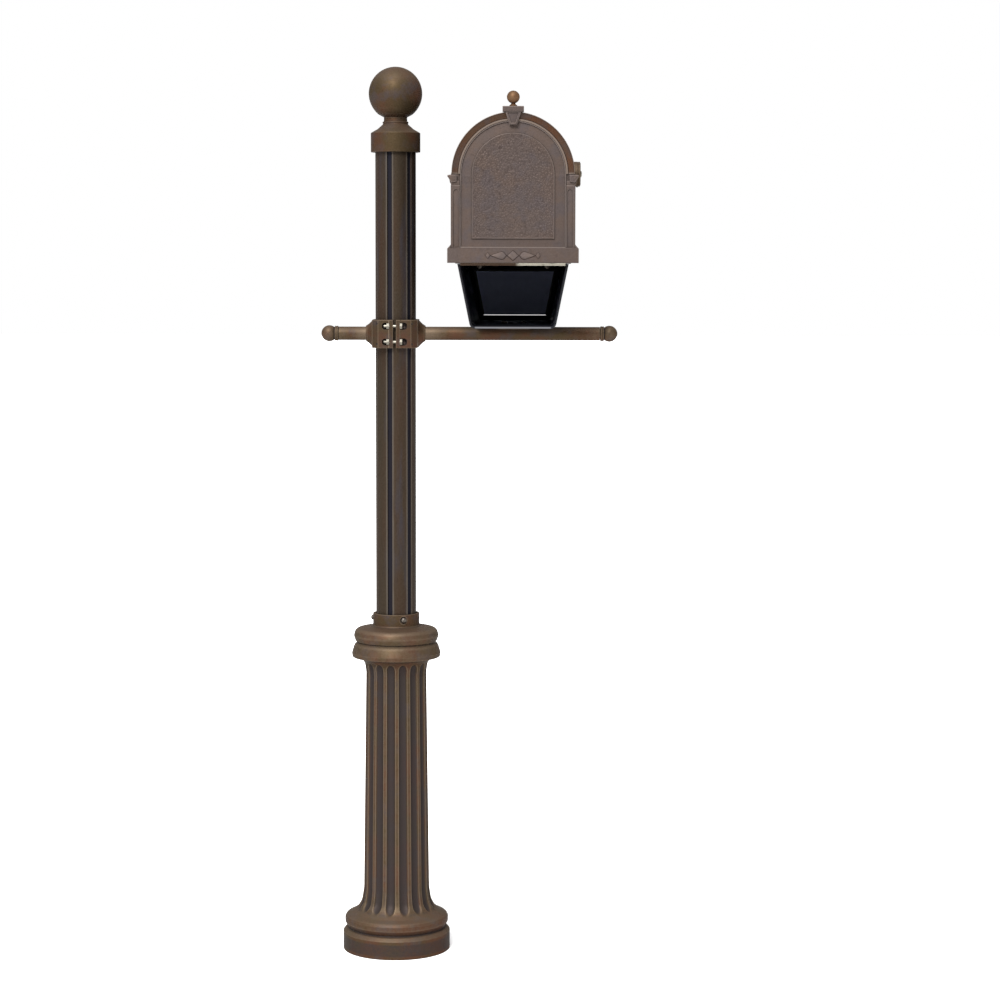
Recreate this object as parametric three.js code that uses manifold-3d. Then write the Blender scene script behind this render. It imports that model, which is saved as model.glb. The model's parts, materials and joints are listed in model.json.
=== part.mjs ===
// A roadside mailbox on a cast post: an arched letter box with a drop-down door and a signal flag,
// a newspaper box below it, and a horizontal arm clamped to a grooved post in a fluted base.
// Units are millimetres, +Z is up, and the front of the letter box faces -Y.
// The origin is on the post's axis, at the ground.

import * as THREE from "three";
import { mergeVertices } from "three/addons/utils/BufferGeometryUtils.js";
import Module from "manifold-3d";

const wasm = await Module();
wasm.setup();

// ---------------------------------------------------------------- driving dimensions

const GAP = 0.3; // left between pieces that touch
const FINE = 0.6; // radial clearance of a faceted hole round its shaft

const POST = { r: 38.1, bore: 32.5, bottom: 10.3, top: 1552, grooves: 6, grooveDepth: 2.6 };
const POST_GROOVE_START = -15; // degrees from the front, towards +X
const FLANGE = { r: 88, thick: 10, sleeveR: 46, sleeveTop: 110, boltCircleR: 68, holeR: 5.5 };
const BASE = { plinthR: 101.9, height: 647, flutes: 16, fluteDepth: 4.2, fluteFrom: 77, fluteTo: 554 };
const BASE_RIDGE_START = 3.8; // degrees from the front to the middle of one ridge
const BASE_SCREW = { z: 637, first: 21.3, r: 3.9, collarR: 44 };
const FINIAL = { r: 50.1, z: 1625, seat: 1579 };
const CAP = { r: 46.3, bottom: 1516, edge: 1552, screwZ: 1532 };
const STUD = { r: 6, deep: 24 };
const FLANGE_SCREW = { first: 60, r: 3.9, z: 70 };

const ARM = { r: 12.7, bore: 10.2, z: 1177, leftEnd: -107.3, rightEnd: 384.4, inside: 42 };
const ARM_BALL = { r: 15.4, shoulder: -17.3, spigotR: 9.8, spigot: 16 };
const CLAMP = { height: 52.7, split: 2.7, front: 50, side: 43, chamfer: 12, bossEnd: 56, bossR: 15.6 };
const CLAMP_BOLT = { r: 3, y: 46.5, z: 14.8, seat: 9.7, pocketR: 7, pocketEnd: 23 };

const BOX_X = 222.5; // the letter box's middle plane
const BOX_Z = 1310; // the letter box's bottom edge
const SPRING = 157.3; // from BOX_Z up to the middle of the arch
const SHELL = { half: 107, wall: 2.2, front: -238, back: 247.5 };
const SKIRT = { half: 114, height: 25, top: 33 };
const CROWN = { half: 115, foot: 141, lip: 154, top: 156.5 };
const DOOR = { half: 111.2, bandHalf: 117.5, crownHalf: 117.2, back: -238.4, plate: 5, frame: 6 };
const BAND = { height: 25, rise: 2.4 };
const DOOR_OPENING = { half: 91.8, bottom: 27.2 };
const NICHE = { x: 101.3, half: 4.9, bottom: 27, spring: 125.2, deep: 1.5 };
const PANEL = { half: 74.7, bottom: 42.4, rise: 3 };
const KEYSTONE = { bottom: 245, bottomHalf: 6, top: 268.5, topHalf: 14.2, rise: 4 };
const CAP_BLOCK = { half: 19, bottom: 267.7, top: 278, rise: 6 };
const KNOB = { r: 11.5, y: -246.9, z: 278 };
const HINGE = { y: -246, z: -2.7, r: 2.4, bore: 1.5, pin: 1.2, half: 94, leaf: 1, knuckles: 8 };
const CATCH = { bottom: 243, strikeHalf: 13, strikeTop: 257, magnetHalf: 11, magnetTop: 261.1 };
const FLOOR = { half: 104, thick: 3.3, drop: 1.3, rebate: 21 };
const FLOOR_BOLT = { r: 2.5, at: [[-62, -150], [62, -150], [-62, 150], [62, 150]] };
const FLAG = { y: -150, z: 161, x: 117.1, thick: 4.5, hubR: 22.5, arm: 150, armHalf: 8 };
const FLAG_BLADE = { length: 70, height: 36, corner: 4 };
const FLAG_PIVOT = { r: 3, bushR: 8.6, bush: 4 };

const TUBE = { topHalf: 98.3, bottomHalf: 75, top: -1.6, bottom: -116, wall: 3, front: -243, back: 240 };
const TUBE_LIP = { out: 1.4, deep: 5 };
const TUBE_BACK_SCALE = 0.965;
const SADDLE = { half: 32, depth: 24, bottom: 1186 };
const SADDLE_BOLT = { r: 2.9, at: [BOX_X - 18, BOX_X + 18] };

// ---------------------------------------------------------------- materials

const finish = (color, roughness, metalness) =>
  new THREE.MeshStandardMaterial({ color, roughness, metalness });
const BRONZE = finish(0x4b3b2d, 0.5, 0.35);
const DOOR_BRONZE = finish(0x756760, 0.6, 0.3);
const POST_BRONZE = finish(0x43372c, 0.45, 0.35);
const PLASTIC = finish(0x0d0f14, 0.4, 0.0);
const ZINC = finish(0xb9b5a6, 0.35, 0.9);
const BLACKENED = finish(0x1f1d1b, 0.45, 0.7);
const STEEL = finish(0x8c8c8a, 0.4, 0.9);
const NYLON = finish(0x1b1a19, 0.6, 0.0);
const MAGNET = finish(0x3a3a3c, 0.5, 0.6);

// ---------------------------------------------------------------- helpers

const rad = THREE.MathUtils.degToRad;

// The unit vector at an angle from the front, -Y, turning towards +X.
const fromFront = (degrees) => new THREE.Vector2(Math.sin(rad(degrees)), -Math.cos(rad(degrees)));

function solidOf(geometry) {
  const bare = geometry.clone();
  bare.deleteAttribute("normal");
  bare.deleteAttribute("uv");
  const merged = mergeVertices(bare, 1e-4);
  return new wasm.Manifold(
    new wasm.Mesh({
      numProp: 3,
      vertProperties: merged.attributes.position.array,
      triVerts: new Uint32Array(merged.index.array),
    }),
  );
}

function geometryOf(solid) {
  const mesh = solid.getMesh();
  const geometry = new THREE.BufferGeometry();
  geometry.setAttribute("position", new THREE.BufferAttribute(mesh.vertProperties, 3));
  geometry.setIndex(new THREE.BufferAttribute(mesh.triVerts, 1));
  geometry.computeVertexNormals();
  return geometry;
}

// The first geometry, with others joined to it and cut from it.
function build(base, { join = [], cut = [] }) {
  let solid = solidOf(base);
  for (const piece of join) solid = solid.add(solidOf(piece));
  for (const piece of cut) solid = solid.subtract(solidOf(piece));
  return geometryOf(solid);
}

// A solid of revolution about Z. The profile holds [radius, z] and goes up on the outside, down inside.
function lathe(profile, segments = 32) {
  const points = profile.map(([r, z]) => new THREE.Vector2(r, z));
  return new THREE.LatheGeometry(points, segments).rotateX(Math.PI / 2);
}

const ring = (outer, inner, from, to, segments) =>
  lathe([[inner, from], [outer, from], [outer, to], [inner, to], [inner, from]], segments);

const rod = (r, from, to, segments = 10) =>
  new THREE.CylinderGeometry(r, r, to - from, segments).rotateX(Math.PI / 2).translate(0, 0, (from + to) / 2);

const alongX = (geometry) => geometry.rotateY(Math.PI / 2);

function block(x0, x1, y0, y1, z0, z1) {
  const size = [x1 - x0, y1 - y0, z1 - z0];
  return new THREE.BoxGeometry(...size).translate((x0 + x1) / 2, (y0 + y1) / 2, (z0 + z1) / 2);
}

// A flat shape in (x, y), raised from z0 to z1.
const slab = (points, z0, z1, holes = []) => {
  const shape = new THREE.Shape(points);
  shape.holes = holes.map((hole) => new THREE.Path(hole));
  return new THREE.ExtrudeGeometry(shape, { depth: z1 - z0, bevelEnabled: false }).translate(0, 0, z0);
};

// A shape drawn in (x, z), running from y0 back to y1.
const wallSlab = (points, y0, y1, holes) => slab(points, -y1, -y0, holes).rotateX(Math.PI / 2);

function arc(cx, cy, r, fromDegrees, toDegrees, steps) {
  const angle = (i) => rad(fromDegrees + ((toDegrees - fromDegrees) * i) / steps);
  return Array.from({ length: steps + 1 }, (_, i) =>
    new THREE.Vector2(cx + r * Math.cos(angle(i)), cy + r * Math.sin(angle(i))));
}

// Points [r, z] on a ball, from an angle above its waist up to its top on the axis.
function ballProfile(r, centreZ, fromDegrees, steps) {
  const angle = (i) => rad(fromDegrees + ((90 - fromDegrees) * i) / steps);
  return Array.from({ length: steps + 1 }, (_, i) =>
    [i === steps ? 0 : r * Math.cos(angle(i)), centreZ + r * Math.sin(angle(i))]);
}

// A hexagon-head bolt along Z with its head's underside at z = 0 and its shank below.
function hexBolt({ r, across, head, length }) {
  return build(new THREE.CylinderGeometry(across / Math.sqrt(3), across / Math.sqrt(3), head, 6)
    .rotateX(Math.PI / 2).translate(0, 0, head / 2), { join: [rod(r, -length, 0.1)] });
}

// A hexagon nut along Z, resting on z = 0.
function hexNut({ bore, across, height }) {
  const outer = new THREE.CylinderGeometry(across / Math.sqrt(3), across / Math.sqrt(3), height, 6);
  return build(outer.rotateX(Math.PI / 2).translate(0, 0, height / 2), { cut: [rod(bore, -1, height + 1)] });
}

// A round-head screw along Z, resting on z = 0.
function panScrew({ r, headR, head, length }) {
  return lathe([[0, -length], [r, -length], [r, 0], [headR, 0], [headR * 0.9, head * 0.65],
    [headR * 0.5, head], [0, head]], 10);
}

const unit = new THREE.Group();

function add(parent, name, geometry, material, position = [0, 0, 0], rotation = [0, 0, 0]) {
  const mesh = new THREE.Mesh(geometry, material);
  mesh.name = name;
  mesh.position.set(...position);
  mesh.rotation.set(...rotation);
  parent.add(mesh);
  return mesh;
}

// Adds a screw that points at the post's axis, its head's underside at radius r.
function addRadial(name, geometry, material, degrees, r, z) {
  const out = fromFront(degrees);
  const mesh = add(unit, name, geometry, material, [out.x * r, out.y * r, z]);
  mesh.quaternion.setFromUnitVectors(new THREE.Vector3(0, 0, 1), new THREE.Vector3(out.x, out.y, 0));
}

// A radial hole in a piece round the post's axis.
function radialHole(degrees, r, from, to, z) {
  const out = fromFront(degrees);
  const turn = new THREE.Quaternion()
    .setFromUnitVectors(new THREE.Vector3(0, 0, 1), new THREE.Vector3(out.x, out.y, 0));
  return rod(r, from, to).applyQuaternion(turn).translate(0, 0, z);
}

const everyThird = (first) => [0, 1, 2].map((i) => first + i * 120);

// ---------------------------------------------------------------- post, anchor flange and base

function postTube() {
  const pitch = 360 / POST.grooves;
  const edge = 7.2; // degrees from a groove's middle to its lip
  const foot = 4.6; // degrees from a groove's middle to the corner of its floor
  const at = (degrees, r) => fromFront(degrees).multiplyScalar(r);
  const outline = [];
  for (let i = 0; i < POST.grooves; i++) {
    const middle = POST_GROOVE_START + i * pitch;
    outline.push(at(middle - edge, POST.r), at(middle - foot, POST.r - POST.grooveDepth));
    outline.push(at(middle + foot, POST.r - POST.grooveDepth));
    const land = pitch - 2 * edge;
    for (let k = 0; k < 6; k++) outline.push(at(middle + edge + (land * k) / 6, POST.r));
  }
  const bore = arc(0, 0, POST.bore, 0, 345, 23);
  return slab(outline, POST.bottom, POST.top, [bore]);
}

function groundFlange() {
  const bore = POST.r + FINE;
  const body = lathe([[0, 0], [FLANGE.r, 0], [FLANGE.r, FLANGE.thick], [FLANGE.sleeveR + 6, FLANGE.thick],
    [FLANGE.sleeveR, FLANGE.thick + 6], [FLANGE.sleeveR, FLANGE.sleeveTop], [bore, FLANGE.sleeveTop],
    [bore, FLANGE.thick], [0, FLANGE.thick]], 28);
  const anchors = [45, 135, 225, 315].map((degrees) => {
    const out = fromFront(degrees).multiplyScalar(FLANGE.boltCircleR);
    return rod(FLANGE.holeR, -1, FLANGE.thick + 1).translate(out.x, out.y, 0);
  });
  const tapped = everyThird(FLANGE_SCREW.first).map((degrees) =>
    radialHole(degrees, FLANGE_SCREW.r + GAP, bore - 3, FLANGE.sleeveR + 3, FLANGE_SCREW.z));
  return build(body, { cut: [...anchors, ...tapped] });
}

// The fluted shaft: a lathe whose outer wall is pushed in along each flute.
function flutedShaft() {
  const perFlute = 4;
  const inside = [[49, 560], [53, 118], [66, 88], [80, 70]];
  const outside = [[86, 71.5], [77, 79.5], [70.5, 90], [65.5, 103], [62.6, 122], [57.7, 530], [60.2, 548],
    [64.5, 555.5], [66, 560]];
  const segments = BASE.flutes * perFlute;
  const shaft = lathe([inside[inside.length - 1], ...outside, ...inside], segments);
  const place = shaft.attributes.position;
  const perRing = outside.length + inside.length + 1;
  for (let i = 0; i < place.count; i++) {
    const pointOnOutside = i % perRing >= 1 && i % perRing <= outside.length;
    const z = place.getZ(i);
    const between = z > BASE.fluteFrom && z < BASE.fluteTo;
    // Of each flute's four steps, two stand on the ridge and two lie in the hollow.
    const hollow = Math.floor(i / perRing) % perFlute >= 2;
    if (pointOnOutside && between && hollow) {
      const r = Math.hypot(place.getX(i), place.getY(i));
      const scale = (r - BASE.fluteDepth) / r;
      place.setX(i, place.getX(i) * scale);
      place.setY(i, place.getY(i) * scale);
    }
  }
  const ridgeMiddle = 180 / segments;
  return shaft.rotateZ(rad(BASE_RIDGE_START - ridgeMiddle));
}

function baseCover() {
  const foot = lathe([[94, 0], [BASE.plinthR, 0], [BASE.plinthR, 33], [99.6, 39], [93.4, 43], [96.6, 48],
    [98, 55], [95.6, 65], [84, 73.2], [78, 73.2], [88, 60], [94, 34], [94, 0]], 36);
  const head = lathe([[50, 558.5], [66, 558.5], [80, 563.6], [83.6, 570], [80.4, 582], [73.6, 592],
    [79, 598.6], [79.4, 608], [75.6, 616], [69, 618.6], [47, 620.6], [BASE_SCREW.collarR, 623],
    [BASE_SCREW.collarR, 645], [43, BASE.height], [39, BASE.height], [39, 612], [50, 600], [50, 558.5]], 36);
  const holes = everyThird(BASE_SCREW.first)
    .map((degrees) => radialHole(degrees, BASE_SCREW.r + GAP, 36, BASE_SCREW.collarR + 4, BASE_SCREW.z));
  return build(foot, { join: [flutedShaft(), head], cut: holes });
}

function addPost() {
  add(unit, "ground_flange", groundFlange(), STEEL);
  everyThird(FLANGE_SCREW.first).forEach((degrees, i) => {
    const screw = hexBolt({ r: FLANGE_SCREW.r, across: 13, head: 5, length: FLANGE.sleeveR - POST.r - 1 });
    addRadial(`flange_screw_${i + 1}`, screw, ZINC, degrees, FLANGE.sleeveR + GAP, FLANGE_SCREW.z);
  });
  add(unit, "post_tube", postTube(), POST_BRONZE);
  add(unit, "base_cover", baseCover(), BRONZE);
  everyThird(BASE_SCREW.first).forEach((degrees, i) => {
    const length = BASE_SCREW.collarR - POST.r - 0.5;
    const screw = panScrew({ r: BASE_SCREW.r, headR: 5.4, head: 4.2, length });
    addRadial(`base_screw_${i + 1}`, screw, BLACKENED, degrees, BASE_SCREW.collarR + GAP, BASE_SCREW.z);
  });
}

// ---------------------------------------------------------------- cap and ball finial

function addFinial() {
  const bore = POST.r + FINE;
  const studHole = STUD.r + FINE;
  const cap = lathe([[bore, CAP.bottom], [CAP.r, CAP.bottom], [CAP.r, CAP.edge], [42.6, 1556.4],
    [29.6, 1564.8], [23.2, 1570.4], [21.7, 1575], [21.7, FINIAL.seat], [studHole, FINIAL.seat],
    [studHole, CAP.edge + 0.6], [bore, CAP.edge + 0.6], [bore, CAP.bottom]], 36);
  add(unit, "post_cap", build(cap, { cut: [radialHole(180, 3.4, 36, CAP.r + 3, CAP.screwZ)] }), BRONZE);
  const screw = lathe([[0, 0], [2.9, 0], [2.9, 7], [0, 7]], 12);
  addRadial("cap_set_screw", screw, STEEL, 180, POST.r + GAP, CAP.screwZ);

  const seat = FINIAL.seat + GAP;
  const socketTop = FINIAL.seat + STUD.deep;
  const seatAngle = THREE.MathUtils.radToDeg(Math.asin((seat - FINIAL.z) / FINIAL.r));
  const ball = lathe([[0, socketTop], [studHole, socketTop], [studHole, seat],
    ...ballProfile(FINIAL.r, FINIAL.z, seatAngle, 10)], 24);
  add(unit, "finial_ball", ball, BRONZE);
  add(unit, "finial_stud", rod(STUD.r, CAP.edge + 1, socketTop - 1), STEEL);
}

// ---------------------------------------------------------------- arm and clamp

// Half of the clamp; side is 1 for +X and -1 for -X. The bolts enter from +X.
function clampHalf(side) {
  const { height, split, front, side: out, chamfer } = CLAMP;
  const plan = [[split, -front], [out - chamfer, -front], [out, chamfer - front], [out, front - chamfer],
    [out - chamfer, front], [split, front]].map(([x, y]) => new THREE.Vector2(side * x, y));
  const body = slab(plan, -height / 2, height / 2);
  const socketR = ARM.r + 0.4;
  const boss = alongX(new THREE.CylinderGeometry(CLAMP.bossR, height / 2, CLAMP.bossEnd - out + 1, 8, 1)
    .rotateX(Math.PI / 2).rotateZ(Math.PI / 8).translate(0, 0, (CLAMP.bossEnd + out - 1) / 2));
  const socket = alongX(rod(socketR, ARM.inside - 1, CLAMP.bossEnd + 2, 24));
  const holes = [];
  for (const y of [-CLAMP_BOLT.y, CLAMP_BOLT.y]) {
    for (const z of [-CLAMP_BOLT.z, CLAMP_BOLT.z]) {
      holes.push(alongX(rod(CLAMP_BOLT.r + FINE, 0, CLAMP_BOLT.seat + 1)).translate(0, y, z));
      const pocket = rod(CLAMP_BOLT.pocketR, CLAMP_BOLT.seat, CLAMP_BOLT.pocketEnd);
      holes.push(alongX(pocket).translate(0, y, z));
    }
  }
  const setScrew = rod(3.4, ARM.r - 2, 30).rotateX(-Math.PI / 2).translate(CLAMP.bossEnd - 5, 0, 0);
  const turned = [boss, socket, setScrew, ...holes];
  if (side < 0) turned.forEach((piece) => piece.rotateZ(Math.PI).rotateX(Math.PI));
  return build(body, {
    join: [boss],
    cut: [rod(POST.r + FINE, -height, height, 36), socket, setScrew, ...holes],
  });
}

// The ball that closes an arm: a spigot in the tube's bore, a collar against its end, and the ball.
function armEnd() {
  const { r, shoulder, spigotR, spigot } = ARM_BALL;
  return lathe([[0, shoulder - spigot], [spigotR - 1, shoulder - spigot], [spigotR, shoulder - spigot + 1],
    [spigotR, shoulder], [12.9, shoulder], [13.9, shoulder + 1.8], [13.9, shoulder + 5.8], [12.4, -10.2],
    ...ballProfile(r, 0, -40, 6)], 18);
}

function armTube(from, to, cuts = []) {
  const bore = alongX(rod(ARM.bore, from - 1, to + 1, 24));
  return build(alongX(rod(ARM.r, from, to, 24)), { cut: [bore, ...cuts] });
}

function addArm() {
  const group = new THREE.Group();
  group.position.z = ARM.z;
  unit.add(group);
  add(group, "clamp_left", clampHalf(-1), BRONZE);
  add(group, "clamp_right", clampHalf(1), BRONZE);
  const nutSize = { bore: CLAMP_BOLT.r + FINE, across: 10, height: 5 };
  for (const [row, y] of [["front", -CLAMP_BOLT.y], ["rear", CLAMP_BOLT.y]]) {
    for (const [level, z] of [["lower", -CLAMP_BOLT.z], ["upper", CLAMP_BOLT.z]]) {
      const length = 2 * CLAMP_BOLT.seat + 10.6;
      const bolt = hexBolt({ r: CLAMP_BOLT.r, across: 10, head: 4.3, length });
      add(group, `clamp_bolt_${row}_${level}`, bolt, ZINC,
        [CLAMP_BOLT.seat + GAP, y, z], [0, Math.PI / 2, 0]);
      add(group, `clamp_nut_${row}_${level}`, hexNut(nutSize), ZINC,
        [-CLAMP_BOLT.seat - GAP, y, z], [0, -Math.PI / 2, 0]);
    }
  }
  const tapped = SADDLE_BOLT.at.map((x) => rod(3.4, ARM.bore - 4, ARM.r + 2).translate(x, 0, 0));
  add(group, "arm_left", armTube(ARM.leftEnd, -ARM.inside), BRONZE);
  add(group, "arm_right", armTube(ARM.inside, ARM.rightEnd, tapped), BRONZE);
  const end = GAP - ARM_BALL.shoulder;
  add(group, "arm_end_left", armEnd(), BRONZE, [ARM.leftEnd - end, 0, 0], [0, -Math.PI / 2, 0]);
  add(group, "arm_end_right", armEnd(), BRONZE, [ARM.rightEnd + end, 0, 0], [0, Math.PI / 2, 0]);
  for (const [name, side] of [["left", -1], ["right", 1]]) {
    const screw = rod(2.9, ARM.r + GAP, ARM.r + 8).rotateX(-Math.PI / 2);
    add(group, `arm_set_screw_${name}`, screw, STEEL, [side * (CLAMP.bossEnd - 5), 0, 0]);
  }
}

// ---------------------------------------------------------------- letter box

// The arched outline in (x, z), from the bottom right corner round to the bottom left.
function archedOutline(half, { skirtHalf = half, crownHalf = half, steps = 24 } = {}) {
  const right = [];
  if (skirtHalf > half) {
    right.push([skirtHalf, 0], [skirtHalf, SKIRT.height], [half, SKIRT.top]);
  } else {
    right.push([half, 0]);
  }
  if (crownHalf > half) {
    const reach = crownHalf - half;
    right.push([half, CROWN.foot], [half + reach * 0.2, CROWN.foot + 3], [half + reach * 0.45, CROWN.lip - 3],
      [crownHalf, CROWN.lip], [crownHalf, CROWN.top]);
  }
  const side = right.map(([x, z]) => new THREE.Vector2(x, z));
  const mirrored = side.map((p) => new THREE.Vector2(-p.x, p.y)).reverse();
  return [...side, ...arc(0, SPRING, half, 0, 180, steps), ...mirrored];
}

// An arched opening or panel in (x, z) whose bottom edge is at z = bottom.
const archedPanel = (half, bottom, steps = 24) =>
  [new THREE.Vector2(half, bottom), ...arc(0, SPRING, half, 0, 180, steps), new THREE.Vector2(-half, bottom)];

const floorHoles = (z0, z1) =>
  FLOOR_BOLT.at.map(([x, y]) => rod(FLOOR_BOLT.r + FINE, z0, z1).translate(x, y, 0));

function boxShell() {
  const inner = SHELL.half - SHELL.wall;
  const outer = archedOutline(SHELL.half, { skirtHalf: SKIRT.half, crownHalf: CROWN.half });
  const section = [...outer, ...archedOutline(inner).reverse()];
  const bossEnd = FLAG.x - GAP;
  const boss = rod(FLAG.hubR, inner - 6, bossEnd, 24);
  const seat = rod(FLAG_PIVOT.bushR + FINE, bossEnd - FLAG_PIVOT.bush - GAP, bossEnd + 1, 16);
  const hole = rod(FLAG_PIVOT.r + FINE, inner - 8, bossEnd + 1);
  for (const part of [boss, seat, hole]) alongX(part).translate(0, FLAG.y, FLAG.z);
  const compartment = wallSlab(archedOutline(inner), FLAG.y - FLAG.hubR - 2, FLAG.y + FLAG.hubR + 2);
  return build(wallSlab(section, SHELL.front, SHELL.back), { join: [boss], cut: [compartment, seat, hole] });
}

function boxFloor() {
  const { half, thick, drop, rebate } = FLOOR;
  const plate = block(-half, half, SHELL.front + 1, SHELL.back - GAP, -drop, thick - drop);
  const rebateCut = block(-half - 1, half + 1, SHELL.front - 1, SHELL.front + rebate, -drop - 1, 0);
  return build(plate, { cut: [rebateCut, ...floorHoles(-5, 5)] });
}

// The door: a plate, a raised frame of pilasters and arch, a band, a panel and a keystone.
function doorCasting() {
  const face = DOOR.back - DOOR.plate;
  const frameFace = face - DOOR.frame;
  const outline = archedOutline(DOOR.half, { skirtHalf: DOOR.bandHalf, crownHalf: DOOR.crownHalf });
  const opening = archedPanel(DOOR_OPENING.half, DOOR_OPENING.bottom);
  const { bottomHalf, topHalf } = KEYSTONE;
  const keystone = [[-bottomHalf, KEYSTONE.bottom], [bottomHalf, KEYSTONE.bottom], [topHalf, KEYSTONE.top],
    [-topHalf, KEYSTONE.top]].map(([x, z]) => new THREE.Vector2(x, z));
  const niche = (side) => [...arc(side * NICHE.x, NICHE.spring, NICHE.half, 0, 180, 6),
    new THREE.Vector2(side * NICHE.x - NICHE.half, NICHE.bottom),
    new THREE.Vector2(side * NICHE.x + NICHE.half, NICHE.bottom)];
  return build(wallSlab(outline, face, DOOR.back), {
    join: [
      wallSlab(outline, frameFace, face + 1, [opening]),
      block(-DOOR.bandHalf, DOOR.bandHalf, frameFace - BAND.rise, frameFace + 1, 0, BAND.height),
      wallSlab(archedPanel(PANEL.half, PANEL.bottom), face - PANEL.rise, face + 1),
      wallSlab(keystone, frameFace - KEYSTONE.rise, frameFace + 1),
      block(-CAP_BLOCK.half, CAP_BLOCK.half, frameFace - CAP_BLOCK.rise, DOOR.back,
        CAP_BLOCK.bottom, CAP_BLOCK.top),
    ],
    cut: [
      wallSlab(niche(1), frameFace - 5, frameFace + NICHE.deep),
      wallSlab(niche(-1), frameFace - 5, frameFace + NICHE.deep),
      rod(3.5, 269, 280).translate(0, KNOB.y, 0),
    ],
  });
}

function doorKnob() {
  return lathe([[0, -7], [2.9, -7], [2.9, GAP], [7.2, GAP], [7.2, 1.6], [5.5, 3],
    ...ballProfile(KNOB.r, KNOB.r + 4.5, -60, 7)], 16);
}

// One leaf of the piano hinge. Its plate runs from the pin towards -Y or +Y; the knuckles of the two
// leaves take turns along X, and each leaf has the knuckles whose number is odd or even.
function hingeLeaf(towards, parity, reach) {
  const pitch = (2 * HINGE.half) / HINGE.knuckles;
  const clear = HINGE.r + 0.4;
  const top = HINGE.r;
  const spanY = (a, b) => [Math.min(towards * a, towards * b), Math.max(towards * a, towards * b)];
  const plate = block(-HINGE.half, HINGE.half, ...spanY(clear, reach), top - HINGE.leaf, top);
  const join = [];
  const bore = alongX(rod(HINGE.bore, -HINGE.half - 1, HINGE.half + 1));
  for (let i = parity; i < HINGE.knuckles; i += 2) {
    const from = -HINGE.half + i * pitch + 0.2;
    const to = from + pitch - 0.4;
    join.push(alongX(rod(HINGE.r, from, to)));
    join.push(block(from, to, ...spanY(0, clear + 0.2), top - HINGE.leaf, top));
  }
  return build(plate, { join, cut: [bore] });
}

function signalFlag() {
  const half = FLAG_BLADE.height / 2;
  const tip = FLAG.arm + FLAG_BLADE.length;
  const { corner } = FLAG_BLADE;
  const { armHalf } = FLAG;
  const hubFrom = THREE.MathUtils.radToDeg(Math.asin(armHalf / FLAG.hubR));
  const hub = arc(0, 0, FLAG.hubR, hubFrom, 360 - hubFrom, 20);
  const blade = [[FLAG.arm - 6, -armHalf], [FLAG.arm, -half], [tip - corner, -half], [tip, corner - half],
    [tip, half - corner], [tip - corner, half], [FLAG.arm, half], [FLAG.arm - 6, armHalf]]
    .map(([x, y]) => new THREE.Vector2(x, y));
  // Drawn with its length along x, then stood in the plane of the box's side.
  const flat = slab([...hub, ...blade], 0, FLAG.thick);
  const turned = build(flat, { cut: [rod(FLAG_PIVOT.r + FINE, -1, FLAG.thick + 1)] });
  return turned.rotateZ(Math.PI / 2).rotateY(Math.PI / 2);
}

function addBox() {
  const box = new THREE.Group();
  box.position.set(BOX_X, 0, BOX_Z);
  unit.add(box);

  add(box, "box_shell", boxShell(), BRONZE);
  const backOutline = archedOutline(SHELL.half, { skirtHalf: SKIRT.half, crownHalf: CROWN.half });
  add(box, "box_back", wallSlab(backOutline, SHELL.back + GAP, SHELL.back + 3), BRONZE);
  add(box, "box_floor", boxFloor(), BRONZE);
  const floorTop = FLOOR.thick - FLOOR.drop;
  const tubeTopInside = TUBE.top - TUBE.wall;
  FLOOR_BOLT.at.forEach(([x, y], i) => {
    const bolt = panScrew({ r: FLOOR_BOLT.r, headR: 5, head: 3, length: floorTop + GAP - tubeTopInside + 6 });
    add(box, `floor_bolt_${i + 1}`, bolt, BLACKENED, [x, y, floorTop + GAP]);
    const nut = hexNut({ bore: FLOOR_BOLT.r + FINE, across: 8, height: 4 });
    add(box, `floor_nut_${i + 1}`, nut, BLACKENED, [x, y, tubeTopInside - GAP], [Math.PI, 0, 0]);
  });

  add(box, "hinge_leaf_body", hingeLeaf(1, 0, 18), STEEL, [0, HINGE.y, HINGE.z]);
  add(box, "hinge_leaf_door", hingeLeaf(-1, 1, 5.4), STEEL, [0, HINGE.y, HINGE.z]);
  add(box, "hinge_pin", alongX(rod(HINGE.pin, -HINGE.half, HINGE.half)), STEEL, [0, HINGE.y, HINGE.z]);
  add(box, "door_casting", doorCasting(), DOOR_BRONZE);
  add(box, "door_knob", doorKnob(), BRONZE, [0, KNOB.y, KNOB.z]);
  const { bottom, strikeHalf, strikeTop, magnetHalf, magnetTop } = CATCH;
  const strike = block(-strikeHalf, strikeHalf, DOOR.back + GAP, DOOR.back + 1.6, bottom, strikeTop);
  add(box, "door_strike", strike, STEEL);
  const magnet = block(-magnetHalf, magnetHalf, DOOR.back + 2, DOOR.back + 14, bottom, magnetTop);
  add(box, "catch_magnet", magnet, MAGNET);

  const flagAt = (x) => [x, FLAG.y, FLAG.z];
  add(box, "signal_flag", signalFlag(), BRONZE, flagAt(FLAG.x));
  const bush = ring(FLAG_PIVOT.bushR, FLAG_PIVOT.r + FINE, -FLAG_PIVOT.bush, 0, 16);
  add(box, "flag_spacer", alongX(bush), NYLON, flagAt(FLAG.x - GAP));
  const inner = SHELL.half - SHELL.wall;
  const pivotLength = FLAG.x + FLAG.thick + GAP - inner + 8;
  const pivot = panScrew({ r: FLAG_PIVOT.r, headR: 6, head: 2.2, length: pivotLength });
  add(box, "flag_pivot_bolt", pivot, ZINC, flagAt(FLAG.x + FLAG.thick + GAP), [0, Math.PI / 2, 0]);
  const nut = hexNut({ bore: FLAG_PIVOT.r + FINE, across: 10, height: 5 });
  // The nut reaches up to where the wall starts to curve in, so it keeps twice the usual gap.
  add(box, "flag_nut", nut, ZINC, flagAt(inner - 2 * GAP), [0, -Math.PI / 2, 0]);
}

// ---------------------------------------------------------------- newspaper box and its saddle

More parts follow.
